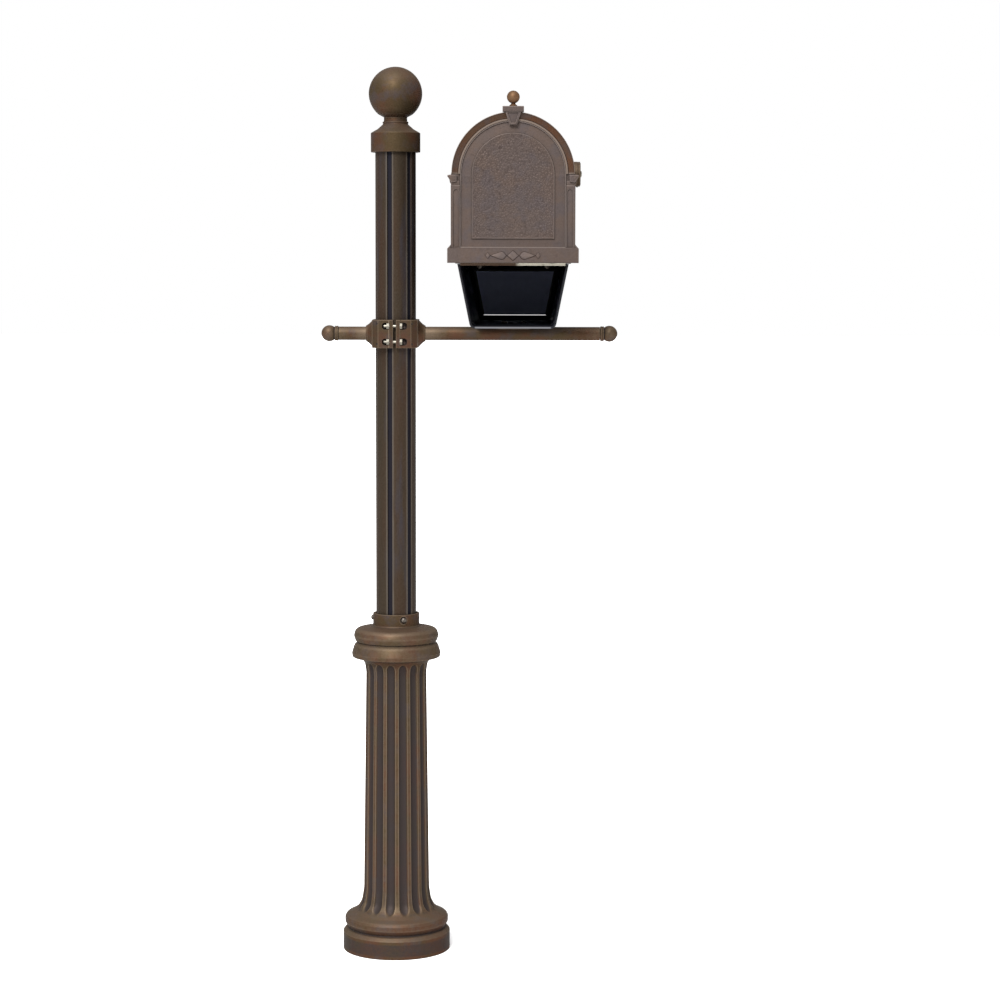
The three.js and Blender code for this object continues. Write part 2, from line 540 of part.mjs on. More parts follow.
// The newspaper box's section in (x, z), drawn in by an even wall thickness.
function tubeSection(inset) {
  const { topHalf, bottomHalf, top, bottom } = TUBE;
  const lean = (topHalf - bottomHalf) / (top - bottom);
  const halfAt = (z) => bottomHalf + lean * (z - bottom) - inset * Math.hypot(1, lean);
  const [low, high] = [bottom + inset, top - inset];
  const r = 9 - inset;
  const corner = arc(halfAt(low) - r, low + r, r, -90, 11, 5);
  const right = [...corner, new THREE.Vector2(halfAt(high), high)];
  return [...right, ...right.map((p) => new THREE.Vector2(-p.x, p.y)).reverse()];
}

// The box narrows towards its closed back end, as a moulding does.
function drafted(geometry) {
  const place = geometry.attributes.position;
  for (let i = 0; i < place.count; i++) {
    const share = (place.getY(i) - TUBE.front) / (TUBE.back - TUBE.front);
    place.setX(i, place.getX(i) * (1 + (TUBE_BACK_SCALE - 1) * share));
  }
  return geometry;
}

function paperTube() {
  const outer = drafted(wallSlab(tubeSection(0), TUBE.front, TUBE.back));
  const lipSection = tubeSection(-TUBE_LIP.out).map((p) => new THREE.Vector2(p.x, Math.min(p.y, TUBE.top)));
  const lip = drafted(wallSlab(lipSection, TUBE.front, TUBE.front + TUBE_LIP.deep));
  const hollow = drafted(wallSlab(tubeSection(TUBE.wall), TUBE.front - 1, TUBE.back - TUBE.wall));
  const saddleHoles = SADDLE_BOLT.at.map((x) =>
    rod(SADDLE_BOLT.r + FINE, TUBE.bottom - 3, TUBE.bottom + TUBE.wall + 3).translate(x - BOX_X, 0, 0));
  const boltHoles = floorHoles(TUBE.top - 6, TUBE.top + 3);
  return build(outer, { join: [lip], cut: [hollow, ...saddleHoles, ...boltHoles] });
}

function addTube() {
  const box = new THREE.Group();
  box.position.set(BOX_X, 0, BOX_Z);
  unit.add(box);
  add(box, "paper_tube", paperTube(), PLASTIC);

  const seat = BOX_Z + TUBE.bottom - GAP;
  const { half, depth, bottom } = SADDLE;
  const body = block(BOX_X - half, BOX_X + half, -depth, depth, bottom, seat);
  const armRest = alongX(rod(ARM.r + 0.4, BOX_X - 60, BOX_X + 60, 24)).translate(0, 0, ARM.z);
  const holes = SADDLE_BOLT.at.map((x) =>
    rod(SADDLE_BOLT.r + FINE, bottom - 2, seat + 2).translate(x, 0, 0));
  add(unit, "arm_saddle", build(body, { cut: [armRest, ...holes] }), BRONZE);
  const tubeFloor = BOX_Z + TUBE.bottom + TUBE.wall + GAP;
  SADDLE_BOLT.at.forEach((x, i) => {
    const length = tubeFloor - ARM.z - ARM.bore + 6;
    const bolt = panScrew({ r: SADDLE_BOLT.r, headR: 6, head: 3.6, length });
    add(unit, `saddle_bolt_${i + 1}`, bolt, BLACKENED, [x, 0, tubeFloor]);
  });
}

addPost();
addFinial();
addArm();
addBox();
addTube();

export default unit;
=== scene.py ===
"""The looks of a roadside mailbox on a cast post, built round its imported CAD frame."""

import json
import math

import bmesh
import bpy
import numpy as np
from mathutils import Euler, Matrix, Vector, noise


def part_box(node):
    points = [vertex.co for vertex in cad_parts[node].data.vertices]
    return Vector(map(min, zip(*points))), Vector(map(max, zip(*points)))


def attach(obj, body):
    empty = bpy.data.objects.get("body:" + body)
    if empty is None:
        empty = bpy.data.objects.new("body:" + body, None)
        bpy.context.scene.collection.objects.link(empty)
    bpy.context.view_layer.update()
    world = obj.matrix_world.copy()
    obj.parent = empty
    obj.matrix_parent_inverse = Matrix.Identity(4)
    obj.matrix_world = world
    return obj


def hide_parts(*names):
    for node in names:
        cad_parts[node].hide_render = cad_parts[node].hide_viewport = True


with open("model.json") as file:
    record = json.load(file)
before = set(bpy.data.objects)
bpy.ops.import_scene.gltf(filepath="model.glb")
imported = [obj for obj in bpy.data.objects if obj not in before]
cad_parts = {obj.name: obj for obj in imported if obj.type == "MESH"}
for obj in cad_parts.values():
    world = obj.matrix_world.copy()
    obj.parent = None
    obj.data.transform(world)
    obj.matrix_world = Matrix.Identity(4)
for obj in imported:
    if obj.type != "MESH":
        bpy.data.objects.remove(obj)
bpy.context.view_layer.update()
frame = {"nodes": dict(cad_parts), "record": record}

MM = 0.001


# ------------------------------------------------------------------ camera, floor and light

CAMERA_AT = Vector((0.260, -4.930, 1.317))
CAMERA_PITCH = math.radians(4.614)  # down from level
CAMERA_YAW = math.radians(0.734)  # towards -X
CAMERA_ROLL = math.radians(0.10)
CAMERA_LENS = 94.097
CAMERA_SHIFT = -0.03


def add_camera():
    data = bpy.data.cameras.new("camera")
    data.lens = CAMERA_LENS
    data.sensor_width = 36
    data.shift_y = CAMERA_SHIFT
    camera = bpy.data.objects.new("camera", data)
    camera.location = CAMERA_AT
    aim = Euler((math.pi / 2 - CAMERA_PITCH, 0, CAMERA_YAW)).to_matrix()
    camera.rotation_euler = (aim @ Matrix.Rotation(CAMERA_ROLL, 3, "Z")).to_euler()
    bpy.context.scene.collection.objects.link(camera)
    bpy.context.scene.camera = camera


def add_sun(name, azimuth, elevation, spread, strength):
    """A soft light from an azimuth seen from above: 0 is behind the camera and 90 is on the right."""
    data = bpy.data.lights.new(name, "SUN")
    data.energy = strength
    data.angle = math.radians(spread)
    light = bpy.data.objects.new(name, data)
    a, e = math.radians(azimuth), math.radians(elevation)
    source = Vector((math.sin(a) * math.cos(e), -math.cos(a) * math.cos(e), math.sin(e)))
    light.rotation_euler = (-source).to_track_quat("-Z", "Y").to_euler()
    bpy.context.scene.collection.objects.link(light)


def add_floor(half=40):
    mesh = bpy.data.meshes.new("studio_floor")
    corners = [(-half, -half, 0), (half, -half, 0), (half, half, 0), (-half, half, 0)]
    mesh.from_pydata(corners, [], [(0, 1, 2, 3)])
    floor = bpy.data.objects.new("studio_floor", mesh)
    bpy.context.scene.collection.objects.link(floor)
    pale = bpy.data.materials.new("studio_floor")
    pale.use_nodes = True
    shader = pale.node_tree.nodes["Principled BSDF"]
    shader.inputs["Base Color"].default_value = (0.9, 0.9, 0.9, 1)
    shader.inputs["Roughness"].default_value = 1
    shader.inputs["Specular IOR Level"].default_value = 0
    mesh.materials.append(pale)


def add_studio():
    add_floor()
    world = bpy.data.worlds.new("studio")
    world.use_nodes = True
    world.node_tree.nodes["Background"].inputs["Color"].default_value = (1, 1, 1, 1)
    world.node_tree.nodes["Background"].inputs["Strength"].default_value = 1
    bpy.context.scene.world = world
    add_sun("front", azimuth=-16, elevation=36, spread=22, strength=5.2)
    add_sun("overhead", azimuth=-20, elevation=66, spread=40, strength=2.2)
    bpy.context.scene.view_settings.view_transform = "Standard"


# ------------------------------------------------------------------ materials

def linear(red, green, blue):
    """A colour on the 0 to 255 display scale, as the shader wants it."""
    def channel(value):
        value /= 255
        return value / 12.92 if value <= 0.04045 else ((value + 0.055) / 1.055) ** 2.4
    return (channel(red), channel(green), channel(blue), 1)


class Nodes:
    """Short calls for building one material's nodes."""

    def __init__(self, name):
        self.material = bpy.data.materials.new(name)
        self.material.use_nodes = True
        self.tree = self.material.node_tree
        self.shader = self.tree.nodes["Principled BSDF"]
        self.place = self.tree.nodes.new("ShaderNodeTexCoord").outputs["Object"]
        self.noises = 0

    def link(self, value, socket):
        if isinstance(value, bpy.types.NodeSocket):
            self.tree.links.new(value, socket)
        else:
            socket.default_value = value

    def noise(self, size_mm, detail=3, stretch=(1, 1, 1), roughness=0.55):
        """Noise from 0 to 1 whose blotches are about size_mm across, drawn out by stretch."""
        self.noises += 1
        mapping = self.tree.nodes.new("ShaderNodeMapping")
        mapping.inputs["Location"].default_value = [step * self.noises for step in (7.3, 3.1, 5.7)]
        mapping.inputs["Scale"].default_value = [1 / (size_mm * MM * s) for s in stretch]
        self.tree.links.new(self.place, mapping.inputs["Vector"])
        texture = self.tree.nodes.new("ShaderNodeTexNoise")
        texture.inputs["Scale"].default_value = 1
        texture.inputs["Detail"].default_value = detail
        texture.inputs["Roughness"].default_value = roughness
        self.tree.links.new(mapping.outputs["Vector"], texture.inputs["Vector"])
        return texture.outputs["Fac"]

    def ramp(self, value, low, high, to_low=0.0, to_high=1.0):
        """value's span from low to high, stretched smoothly to another span."""
        node = self.tree.nodes.new("ShaderNodeMapRange")
        node.interpolation_type = "SMOOTHSTEP"
        self.link(value, node.inputs["Value"])
        spans = {"From Min": low, "From Max": high, "To Min": to_low, "To Max": to_high}
        for socket, number in spans.items():
            node.inputs[socket].default_value = number
        return node.outputs["Result"]

    def maths(self, operation, first, second):
        node = self.tree.nodes.new("ShaderNodeMath")
        node.operation = operation
        self.link(first, node.inputs[0])
        self.link(second, node.inputs[1])
        return node.outputs[0]

    def mix(self, share, first, second):
        node = self.tree.nodes.new("ShaderNodeMix")
        node.data_type = "RGBA"
        self.link(share, node.inputs["Factor"])
        self.link(first, node.inputs["A"])
        self.link(second, node.inputs["B"])
        return node.outputs["Result"]

    def wear_and_painted_light(self):
        """The stored wear and painted light: 0 in a hollow, which gets painted shade, 0.5 on the flat and 1
        on a rubbed edge or ridge; some pieces store other values for painted shade and highlights.
        """
        node = self.tree.nodes.new("ShaderNodeAttribute")
        node.attribute_name = "wear_and_painted_light"
        return node.outputs["Fac"]

    def upward(self):
        """1 on a face that looks up and 0 on a wall or an underside."""
        geometry = self.tree.nodes.new("ShaderNodeNewGeometry")
        split = self.tree.nodes.new("ShaderNodeSeparateXYZ")
        self.tree.links.new(geometry.outputs["Normal"], split.inputs["Vector"])
        return self.ramp(split.outputs["Z"], 0.1, 0.9)

    def across(self):
        """The place along X, in millimetres."""
        split = self.tree.nodes.new("ShaderNodeSeparateXYZ")
        self.tree.links.new(self.place, split.inputs["Vector"])
        return self.maths("MULTIPLY", split.outputs["X"], 1 / MM)

    def bump(self, height, depth_mm, strength=1.0, below=None):
        node = self.tree.nodes.new("ShaderNodeBump")
        node.inputs["Distance"].default_value = depth_mm * MM
        node.inputs["Strength"].default_value = strength
        self.link(height, node.inputs["Height"])
        if below is not None:
            self.tree.links.new(below, node.inputs["Normal"])
        return node.outputs["Normal"]

    def finish(self, colour, roughness, normal=None, metallic=0.0, specular=0.5, edge=None):
        self.link(colour, self.shader.inputs["Base Color"])
        self.link(roughness, self.shader.inputs["Roughness"])
        self.shader.inputs["Metallic"].default_value = metallic
        self.shader.inputs["Specular IOR Level"].default_value = specular
        if edge:
            self.shader.inputs["Specular Tint"].default_value = linear(*edge)
        if normal is not None:
            self.tree.links.new(normal, self.shader.inputs["Normal"])
        return self.material


def bronze(name, body, warm, cool, painted_shade, rubbed_and_lit, streak=(1, 1, 1), painted_light_and_wear=True):
    """Antique bronze coating: mottled brown, with painted shade in hollows, painted light on faces that look
    up, and rubbed lighter on what stands out.
    """
    n = Nodes(name)
    blotch = n.noise(58, detail=5, stretch=streak)
    cloud = n.noise(36, detail=6, stretch=streak, roughness=0.62)
    fine = n.noise(6, detail=4, stretch=streak)
    grain = n.noise(1.5, detail=3)
    colour = n.mix(n.ramp(blotch, 0.40, 0.62), linear(*body), linear(*warm))
    colour = n.mix(n.ramp(cloud, 0.48, 0.66, 0, 0.85), colour, linear(*cool))
    dark = tuple(0.72 * channel for channel in body)
    colour = n.mix(n.ramp(fine, 0.52, 0.78, 0, 0.45), colour, linear(*dark))
    colour = n.mix(n.ramp(grain, 0.35, 0.75, 0, 0.22), colour, linear(*rubbed_and_lit))
    # Painted light from above: faces that look up are lighter.
    colour = n.mix(n.maths("MULTIPLY", n.upward(), 0.45), colour, linear(*rubbed_and_lit))
    if painted_light_and_wear:
        # Painted shade where the value is low, in hollows and on faces a piece marks as shaded; lighter
        # where it is high, on rubbed edges and ridges and on painted highlights a piece marks.
        wear_and_painted_light = n.maths("ADD", n.wear_and_painted_light(), n.maths("MULTIPLY", n.maths("SUBTRACT", fine, 0.5), 0.25))
        colour = n.mix(n.ramp(wear_and_painted_light, 0.46, 0.14, 0, 0.88), colour, linear(*painted_shade))
        colour = n.mix(n.ramp(wear_and_painted_light, 0.57, 0.90, 0, 0.9), colour, linear(*rubbed_and_lit))
    rough = n.ramp(n.maths("ADD", cloud, n.maths("MULTIPLY", fine, 0.4)), 0.40, 1.0, 0.44, 0.62)
    bumps = n.bump(fine, 0.30, 0.35, n.bump(grain, 0.08, 0.8))
    return n.finish(colour, rough, bumps, metallic=0.5, specular=0.08, edge=(120, 96, 76))


def zinc(name, shade, light=0.45, metallic=0.9, left_colour=None):
    """Bare or blackened metal. left_colour, if given, is a colour laid over the part of it left of a place
    along X, with a ragged border.
    """
    n = Nodes(name)
    spangle = n.noise(2.2, detail=2)
    stain = n.noise(9, detail=4)
    dark = tuple(channel * light for channel in shade)
    colour = n.mix(n.ramp(stain, 0.50, 0.72), linear(*shade), linear(*dark))
    if left_colour:
        edge = n.maths("ADD", n.across(), n.maths("MULTIPLY", stain, 24))
        colour = n.mix(n.ramp(edge, 246, 240), colour, linear(*left_colour))
    rough = n.ramp(spangle, 0.3, 0.7, 0.26, 0.44)
    return n.finish(colour, rough, n.bump(spangle, 0.05, 0.6), metallic=metallic)


def black_plastic(name):
    """Moulded plastic, nearly black and a little bluer where hazed.

    Its painted light is set by place: 0 on the rim, which gets a grey painted highlight, 0.3 on the walls
    and 1 on the back, which gets a pale bluish painted light.
    """
    n = Nodes(name)
    haze = n.noise(120, detail=3)
    scuff = n.noise(22, detail=6, stretch=(1, 5, 1), roughness=0.7)
    pebble = n.noise(1.1, detail=2)
    colour = n.mix(n.ramp(haze, 0.35, 0.7), linear(11, 11, 14), linear(14, 15, 20))
    painted_back_light = n.mix(haze, linear(124, 132, 162), linear(100, 106, 134))
    # Painted highlight: grey on the rim's foot, and painted light, pale and bluish, on the back.
    colour = n.mix(n.ramp(n.wear_and_painted_light(), 0.05, 0.28), linear(78, 78, 81), colour)
    colour = n.mix(n.ramp(n.wear_and_painted_light(), 0.45, 0.8), colour, painted_back_light)
    colour = n.mix(n.ramp(scuff, 0.62, 0.80, 0, 0.16), colour, linear(40, 42, 50))
    rough = n.ramp(scuff, 0.35, 0.75, 0.36, 0.50)
    return n.finish(colour, rough, n.bump(pebble, 0.03, 0.5), specular=0.12)


def nylon(name, shade):
    n = Nodes(name)
    mottle = n.noise(3, detail=3)
    colour = n.mix(n.ramp(mottle, 0.3, 0.7), linear(*shade), linear(*[c * 1.5 for c in shade]))
    return n.finish(colour, n.ramp(mottle, 0.2, 0.8, 0.45, 0.65), n.bump(mottle, 0.05))


SHELL_SHADES = ((50, 39, 30), (54, 38, 28), (50, 43, 37), (28, 24, 22), (74, 63, 52))

MATERIALS = {
    "bronze_coat": bronze("bronze_coat", (53, 43, 29), (61, 40, 29), (54, 47, 46), (41, 37, 37),
                          (84, 72, 60)),
    "post_coat": bronze("post_coat", (43, 36, 28), (46, 34, 26), (43, 41, 46), (20, 21, 28), (74, 68, 62),
                        streak=(1, 1, 7)),
    "door_coat": bronze("door_coat", (62, 54, 51), (65, 55, 50), (60, 54, 54), (36, 29, 27), (92, 83, 79)),
    "cove_coat": bronze("cove_coat", (60, 44, 33), (64, 42, 29), (58, 49, 46), (38, 29, 25), (90, 80, 73)),
    "shell_coat": bronze("shell_coat", *SHELL_SHADES),
    "floor_coat": bronze("floor_coat", *SHELL_SHADES, painted_light_and_wear=False),
    "knob_coat": bronze("knob_coat", (60, 36, 23), (68, 38, 24), (58, 45, 38), (32, 22, 18), (94, 74, 55)),
    "tube_plastic": black_plastic("tube_plastic"),
    "zinc": zinc("zinc", (100, 96, 86), metallic=0.6),
    "steel": zinc("steel", (150, 146, 138)),
    "hinge_steel": zinc("hinge_steel", (158, 154, 142), left_colour=(66, 52, 42)),
    "blackened": zinc("blackened", (74, 68, 62), light=0.6, metallic=0.7),
    "nylon": nylon("nylon", (30, 30, 29)),
    "magnet": nylon("magnet", (44, 44, 46)),
}


# ------------------------------------------------------------------ mesh helpers, in millimetres

def rounded(corners, closed=True, degrees_per_step=12):
    """A polyline through (x, y, radius) corners, with each corner rounded to its radius."""
    points = []
    count = len(corners)
    for i, corner in enumerate(corners):
        here = Vector(corner[:2])
        radius = corner[2] if len(corner) > 2 else 0
        at_end = not closed and i in (0, count - 1)
        if radius <= 0 or at_end:
            points.append((here.x, here.y))
            continue
        before = Vector(corners[i - 1][:2]) - here
        after = Vector(corners[(i + 1) % count][:2]) - here
        turn = math.pi - before.angle(after)
        if turn < 0.01:
            points.append((here.x, here.y))
            continue
        reach = min(radius * math.tan(turn / 2), 0.49 * before.length, 0.49 * after.length)
        radius = reach / math.tan(turn / 2)
        to_middle = (before.normalized() + after.normalized()).normalized()
        middle = here + to_middle * (radius / math.cos(turn / 2))
        start = here + before.normalized() * reach - middle
        side = 1 if before.x * after.y - before.y * after.x < 0 else -1
        steps = max(2, math.ceil(math.degrees(turn) / degrees_per_step))
        for k in range(steps + 1):
            angle = side * turn * k / steps
            spun = Matrix.Rotation(angle, 2) @ start
            points.append((middle.x + spun.x, middle.y + spun.y))
    return points


def arc(cx, cy, radius, start, end, steps):
    angles = [math.radians(start + (end - start) * i / steps) for i in range(steps + 1)]
    return [(cx + radius * math.cos(a), cy + radius * math.sin(a)) for a in angles]


def finish_mesh(name, mesh, slot, body, nodes, smooth=35, wear_and_painted_light=True, level=0.5):
    """Turns a mesh in millimetres into a piece of the object."""
    mesh.transform(Matrix.Scale(MM, 4))
    weld(mesh, 0.00002)
    mesh.shade_smooth()
    mesh.set_sharp_from_angle(angle=math.radians(smooth))
    piece = bpy.data.objects.new(name, mesh)
    bpy.context.scene.collection.objects.link(piece)
    mesh.materials.clear()
    mesh.materials.append(MATERIALS[slot])
    if wear_and_painted_light and not mesh.attributes.get("wear_and_painted_light"):
        mark_wear_and_shade(mesh, level)
    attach(piece, body)
    if nodes:
        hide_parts(*nodes)
    return piece


def exposure(mesh, gain, passes):
    """How far each vertex stands out from its neighbours: 0 in a hollow, 0.5 on the flat, 1 on an edge."""
    count = len(mesh.vertices)
    place = np.zeros(count * 3)
    mesh.vertices.foreach_get("co", place)
    place = place.reshape(-1, 3)
    normal = np.zeros(count * 3)
    mesh.vertex_normals.foreach_get("vector", normal)
    normal = normal.reshape(-1, 3)
    pairs = np.zeros(len(mesh.edges) * 2, int)
    mesh.edges.foreach_get("vertices", pairs)
    first, second = pairs.reshape(-1, 2).T
    apart = place[first] - place[second]
    length = np.maximum(np.linalg.norm(apart, axis=1), 1e-9)
    total, weight = np.zeros(count), np.zeros(count)
    for here, sign in ((first, 1), (second, -1)):
        lean = sign * (normal[here] * apart).sum(1) / length
        np.add.at(total, here, lean)
        np.add.at(weight, here, 1)
    stand = total / np.maximum(weight, 1)
    for _ in range(passes):
        around = np.zeros(count)
        np.add.at(around, first, stand[second])
        np.add.at(around, second, stand[first])
        stand = 0.5 * stand + 0.5 * around / np.maximum(weight, 1)
    return np.clip(0.5 + gain * stand, 0, 1)


def wide_faces(mesh):
    """The faces that belong to a wide flat or gently curved surface, and not to a rounded edge."""
    work = bmesh.new()
    work.from_mesh(mesh)
    work.faces.ensure_lookup_table()
    wide = set()
    for face in work.faces:
        longest = max(edge.calc_length() for edge in face.edges)
        if face.calc_area() / longest > 2.4 * MM:
            wide.add(face.index)
    waiting = list(wide)
    while waiting:
        face = work.faces[waiting.pop()]
        for edge in face.edges:
            for other in edge.link_faces:
                if other.index not in wide and face.normal.dot(other.normal) > 0.99999:
                    wide.add(other.index)
                    waiting.append(other.index)
    work.free()
    return wide


def mark_wear_and_shade(mesh, level=0.5):
    """Stores wear and painted shade on each face's corners: painted shade in hollows and rubbing on edges,
    so that an edge's rubbing stops where the flat begins.
    """
    vertices = np.zeros(len(mesh.loops), int)
    mesh.loops.foreach_get("vertex_index", vertices)
    values = exposure(mesh, gain=4.5, passes=1)[vertices]
    for index in wide_faces(mesh):
        face = mesh.polygons[index]
        values[face.loop_start:face.loop_start + face.loop_total] = level
    attribute = mesh.attributes.new("wear_and_painted_light", "FLOAT", "CORNER")
    attribute.data.foreach_set("value", values.astype(np.float32))


def store_wear_and_light(mesh, values):
    attribute = mesh.attributes.new("wear_and_painted_light", "FLOAT", "POINT")
    attribute.data.foreach_set("value", np.asarray(values, np.float32))


def grid_mesh(name, rings, closed_around=True, closed_along=False):
    """A mesh through rings of points. A ring of one point is a pole."""
    points, index = [], []
    for ring in rings:
        index.append(range(len(points), len(points) + len(ring)))
        points.extend(ring)
    faces = []
    pairs = list(zip(index, index[1:]))
    if closed_along:
        pairs.append((index[-1], index[0]))
    for a, b in pairs:
        count = max(len(a), len(b))
        for i in range(count if closed_around else count - 1):
            j = (i + 1) % count
            if len(a) == 1:
                faces.append((a[0], b[j], b[i]))
            elif len(b) == 1:
                faces.append((a[i], a[j], b[0]))
            else:
                faces.append((a[i], a[j], b[j], b[i]))
    mesh = bpy.data.meshes.new(name)
    mesh.from_pydata(points, [], faces)
    return mesh


def revolve(name, profile, steps, shape=None):
    """A profile of (radius, z) turned about Z. It closes on itself, or starts and ends on the axis.

    shape(degrees from the front, radius, z) may give another radius for a point.
    """
    rings = []
    for radius, z in profile:
        if radius < 1e-6:
            rings.append([(0, 0, z)])
            continue
        ring = []
        for i in range(steps):
            degrees = 360 * i / steps
            r = shape(degrees, radius, z) if shape else radius
            a = math.radians(degrees)
            ring.append((r * math.sin(a), -r * math.cos(a), z))
        rings.append(ring)
    closed = profile[0][0] > 1e-6
    return grid_mesh(name, rings, closed_along=closed)


def ball_profile(radius, centre, from_degrees, steps):
    points = arc(0, centre, radius, from_degrees, 90, steps)
    return points[:-1] + [(0, centre + radius)]


def weld(mesh, distance):
    """Joins the points that lie together, so that the mesh is one closed surface."""
    work = bmesh.new()
    work.from_mesh(mesh)
    bmesh.ops.remove_doubles(work, verts=work.verts, dist=distance)
    bmesh.ops.recalc_face_normals(work, faces=work.faces)
    work.to_mesh(mesh)
    work.free()


def plate(name, outline, low, high, edge, holes=(), edge_steps=3):
    """A flat outline in (x, y) raised from low to high, with its edges rounded."""
    curve = bpy.data.curves.new(name, "CURVE")
    curve.dimensions = "2D"
    curve.fill_mode = "BOTH"
    for loop in (outline, *holes):
        spline = curve.splines.new("POLY")
        spline.points.add(len(loop) - 1)
        for point, (x, y) in zip(spline.points, loop):
            point.co = (x, y, 0, 1)
        spline.use_cyclic_u = True
    curve.extrude = (high - low) / 2 - edge
    curve.bevel_depth = edge
    curve.bevel_resolution = edge_steps
    curve.offset = -edge
    holder = bpy.data.objects.new(name + "_outline", curve)
    bpy.context.scene.collection.objects.link(holder)
    bpy.context.view_layer.update()
    graph = bpy.context.evaluated_depsgraph_get()
    mesh = bpy.data.meshes.new_from_object(holder.evaluated_get(graph))
    bpy.data.objects.remove(holder)
    bpy.data.curves.remove(curve)
    mesh.name = name
    mesh.transform(Matrix.Translation((0, 0, (low + high) / 2)))
    weld(mesh, 0.002)
    return mesh


def prism(name, outline, low, high, end=None, edge=0.0):
    """An outline in (x, y) raised from low to high. end is its shape at both ends, reached over edge."""
    levels = [(low, outline), (high, outline)]
    if end:
        levels = [(low, end), (low + edge, outline), (high - edge, outline), (high, end)]
    mesh = grid_mesh(name, [[(x, y, z) for x, y in shape] for z, shape in levels])
    close_ends(mesh, len(outline))
    return mesh


# Takes a plate drawn in (x, z) and raised along its third axis to one that faces -Y.
STAND = Matrix(((1, 0, 0, 0), (0, 0, -1, 0), (0, 1, 0, 0), (0, 0, 0, 1)))


def wall(name, outline, front, back, edge, holes=(), edge_steps=3):
    """A plate drawn in (x, z) that runs from y = front to y = back."""
    mesh = plate(name, outline, -back, -front, edge, holes, edge_steps)
    mesh.transform(STAND)
    return mesh


def joined(name, meshes):
    """Several meshes as one."""
    work = bmesh.new()
    for mesh in meshes:
        work.from_mesh(mesh)
        bpy.data.meshes.remove(mesh)
    whole = bpy.data.meshes.new(name)
    work.to_mesh(whole)
    work.free()
    return whole


def cut(mesh, cutters):
    """mesh with the cutters taken out of it."""
    for part in (mesh, *cutters):
        weld(part, 0.002)
    base = bpy.data.objects.new("base", mesh)
    bpy.context.scene.collection.objects.link(base)
    tools = []
    for cutter in cutters:
        tool = bpy.data.objects.new("tool", cutter)
        bpy.context.scene.collection.objects.link(tool)
        tools.append(tool)
        step = base.modifiers.new("cut", "BOOLEAN")
        step.operation = "DIFFERENCE"
        step.solver = "EXACT"
        step.object = tool
    bpy.context.view_layer.update()
    graph = bpy.context.evaluated_depsgraph_get()
    result = bpy.data.meshes.new_from_object(base.evaluated_get(graph))
    for item in (base, *tools):
        data = item.data
        bpy.data.objects.remove(item)
        bpy.data.meshes.remove(data)
    return result


def box_mm(node):
    """A node's lowest and highest corners, in millimetres."""
    low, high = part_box(node)
    return low / MM, high / MM


def moved(mesh, x=0, y=0, z=0):
    mesh.transform(Matrix.Translation((x, y, z)))
    return mesh


def turned(mesh, degrees, axis):
    mesh.transform(Matrix.Rotation(math.radians(degrees), 4, axis))
    return mesh


# ------------------------------------------------------------------ post and base

POST_GROOVES = 6
GROOVE_START = -15


def build_post():
    low, high = box_mm("post_tube")
    outer = (high.x - low.x) / 2
    depth, half, lip = 2.4, 6.9, 1.5
    pitch = 360 / POST_GROOVES
    outside = []
    for groove in range(POST_GROOVES):
        middle = GROOVE_START + groove * pitch
        edge = [half - 1.6, half - 1.0, half - 0.5, half + 0.1, half + lip * 0.55, half + lip]
        stops = [-stop for stop in reversed(edge)] + [-3, 0, 3] + edge
        land = pitch - 2 * (half + lip)
        stops += [half + lip + land * k / 10 for k in range(1, 10)]
        for offset in stops:
            off = abs((offset + pitch / 2) % pitch - pitch / 2)
            fall = min(max((half + 0.35 - off) / 1.3, 0), 1)
            fall = fall * fall * (3 - 2 * fall)
            swell = 0.35 * math.exp(-((off - half - 0.9) / 1.0) ** 2)
            outside.append((math.radians(middle + offset), outer - 0.35 - depth * fall + swell))
    rings = []
    levels = [low.z, low.z + 0.8] + [low.z + (high.z - low.z) * k / 12 for k in range(1, 12)] + [high.z]
    for z in levels:
        rings.append([(r * math.sin(a), -r * math.cos(a), z) for a, r in outside])
    bore = outer - 5.6
    for z in (high.z, low.z):
        rings.append([(bore * math.sin(a), -bore * math.cos(a), z) for a, _ in outside])
    mesh = grid_mesh("post", rings, closed_along=True)
    # Painted shade on the grooves' floors, and their lips rubbed bright.
    sharp = [0.06 if r < outer - 1.6 else (1.0 if r > outer - 0.22 else 0.5) for _, r in outside]
    count = len(sharp)
    soft = [0.25 * sharp[i - 1] + 0.5 * sharp[i] + 0.25 * sharp[(i + 1) % count] for i in range(count)]
    store_wear_and_light(mesh, soft * len(levels) + [0.5] * (2 * count))
    finish_mesh("post", mesh, "post_coat", "post", ["post_tube"])


FLUTES = 16
RIDGE_START = 3.8
FLUTE_DEPTH = 4.6
FLUTE_HALF = 8.0
FLUTE_LOW, FLUTE_HIGH = 77, 554
FLUTE_LOW_END, FLUTE_HIGH_END = 16, 11


def flute_share(degrees, radius, z):
    """How deep into a flute a point of the shaft lies, from 0 on a ridge to 1 at a flute's bottom."""
    pitch = 360 / FLUTES
    off = (degrees - RIDGE_START) % pitch - pitch / 2
    across = abs(math.radians(off) * radius)
    middle_half = FLUTE_HALF * radius / 60
    along = max((FLUTE_LOW + FLUTE_LOW_END - z) / FLUTE_LOW_END, (z - FLUTE_HIGH) / FLUTE_HIGH_END + 1, 0)
    inside = 1 - (across / middle_half) ** 2 - along ** 2
    return math.sqrt(inside) if inside > 0 else 0


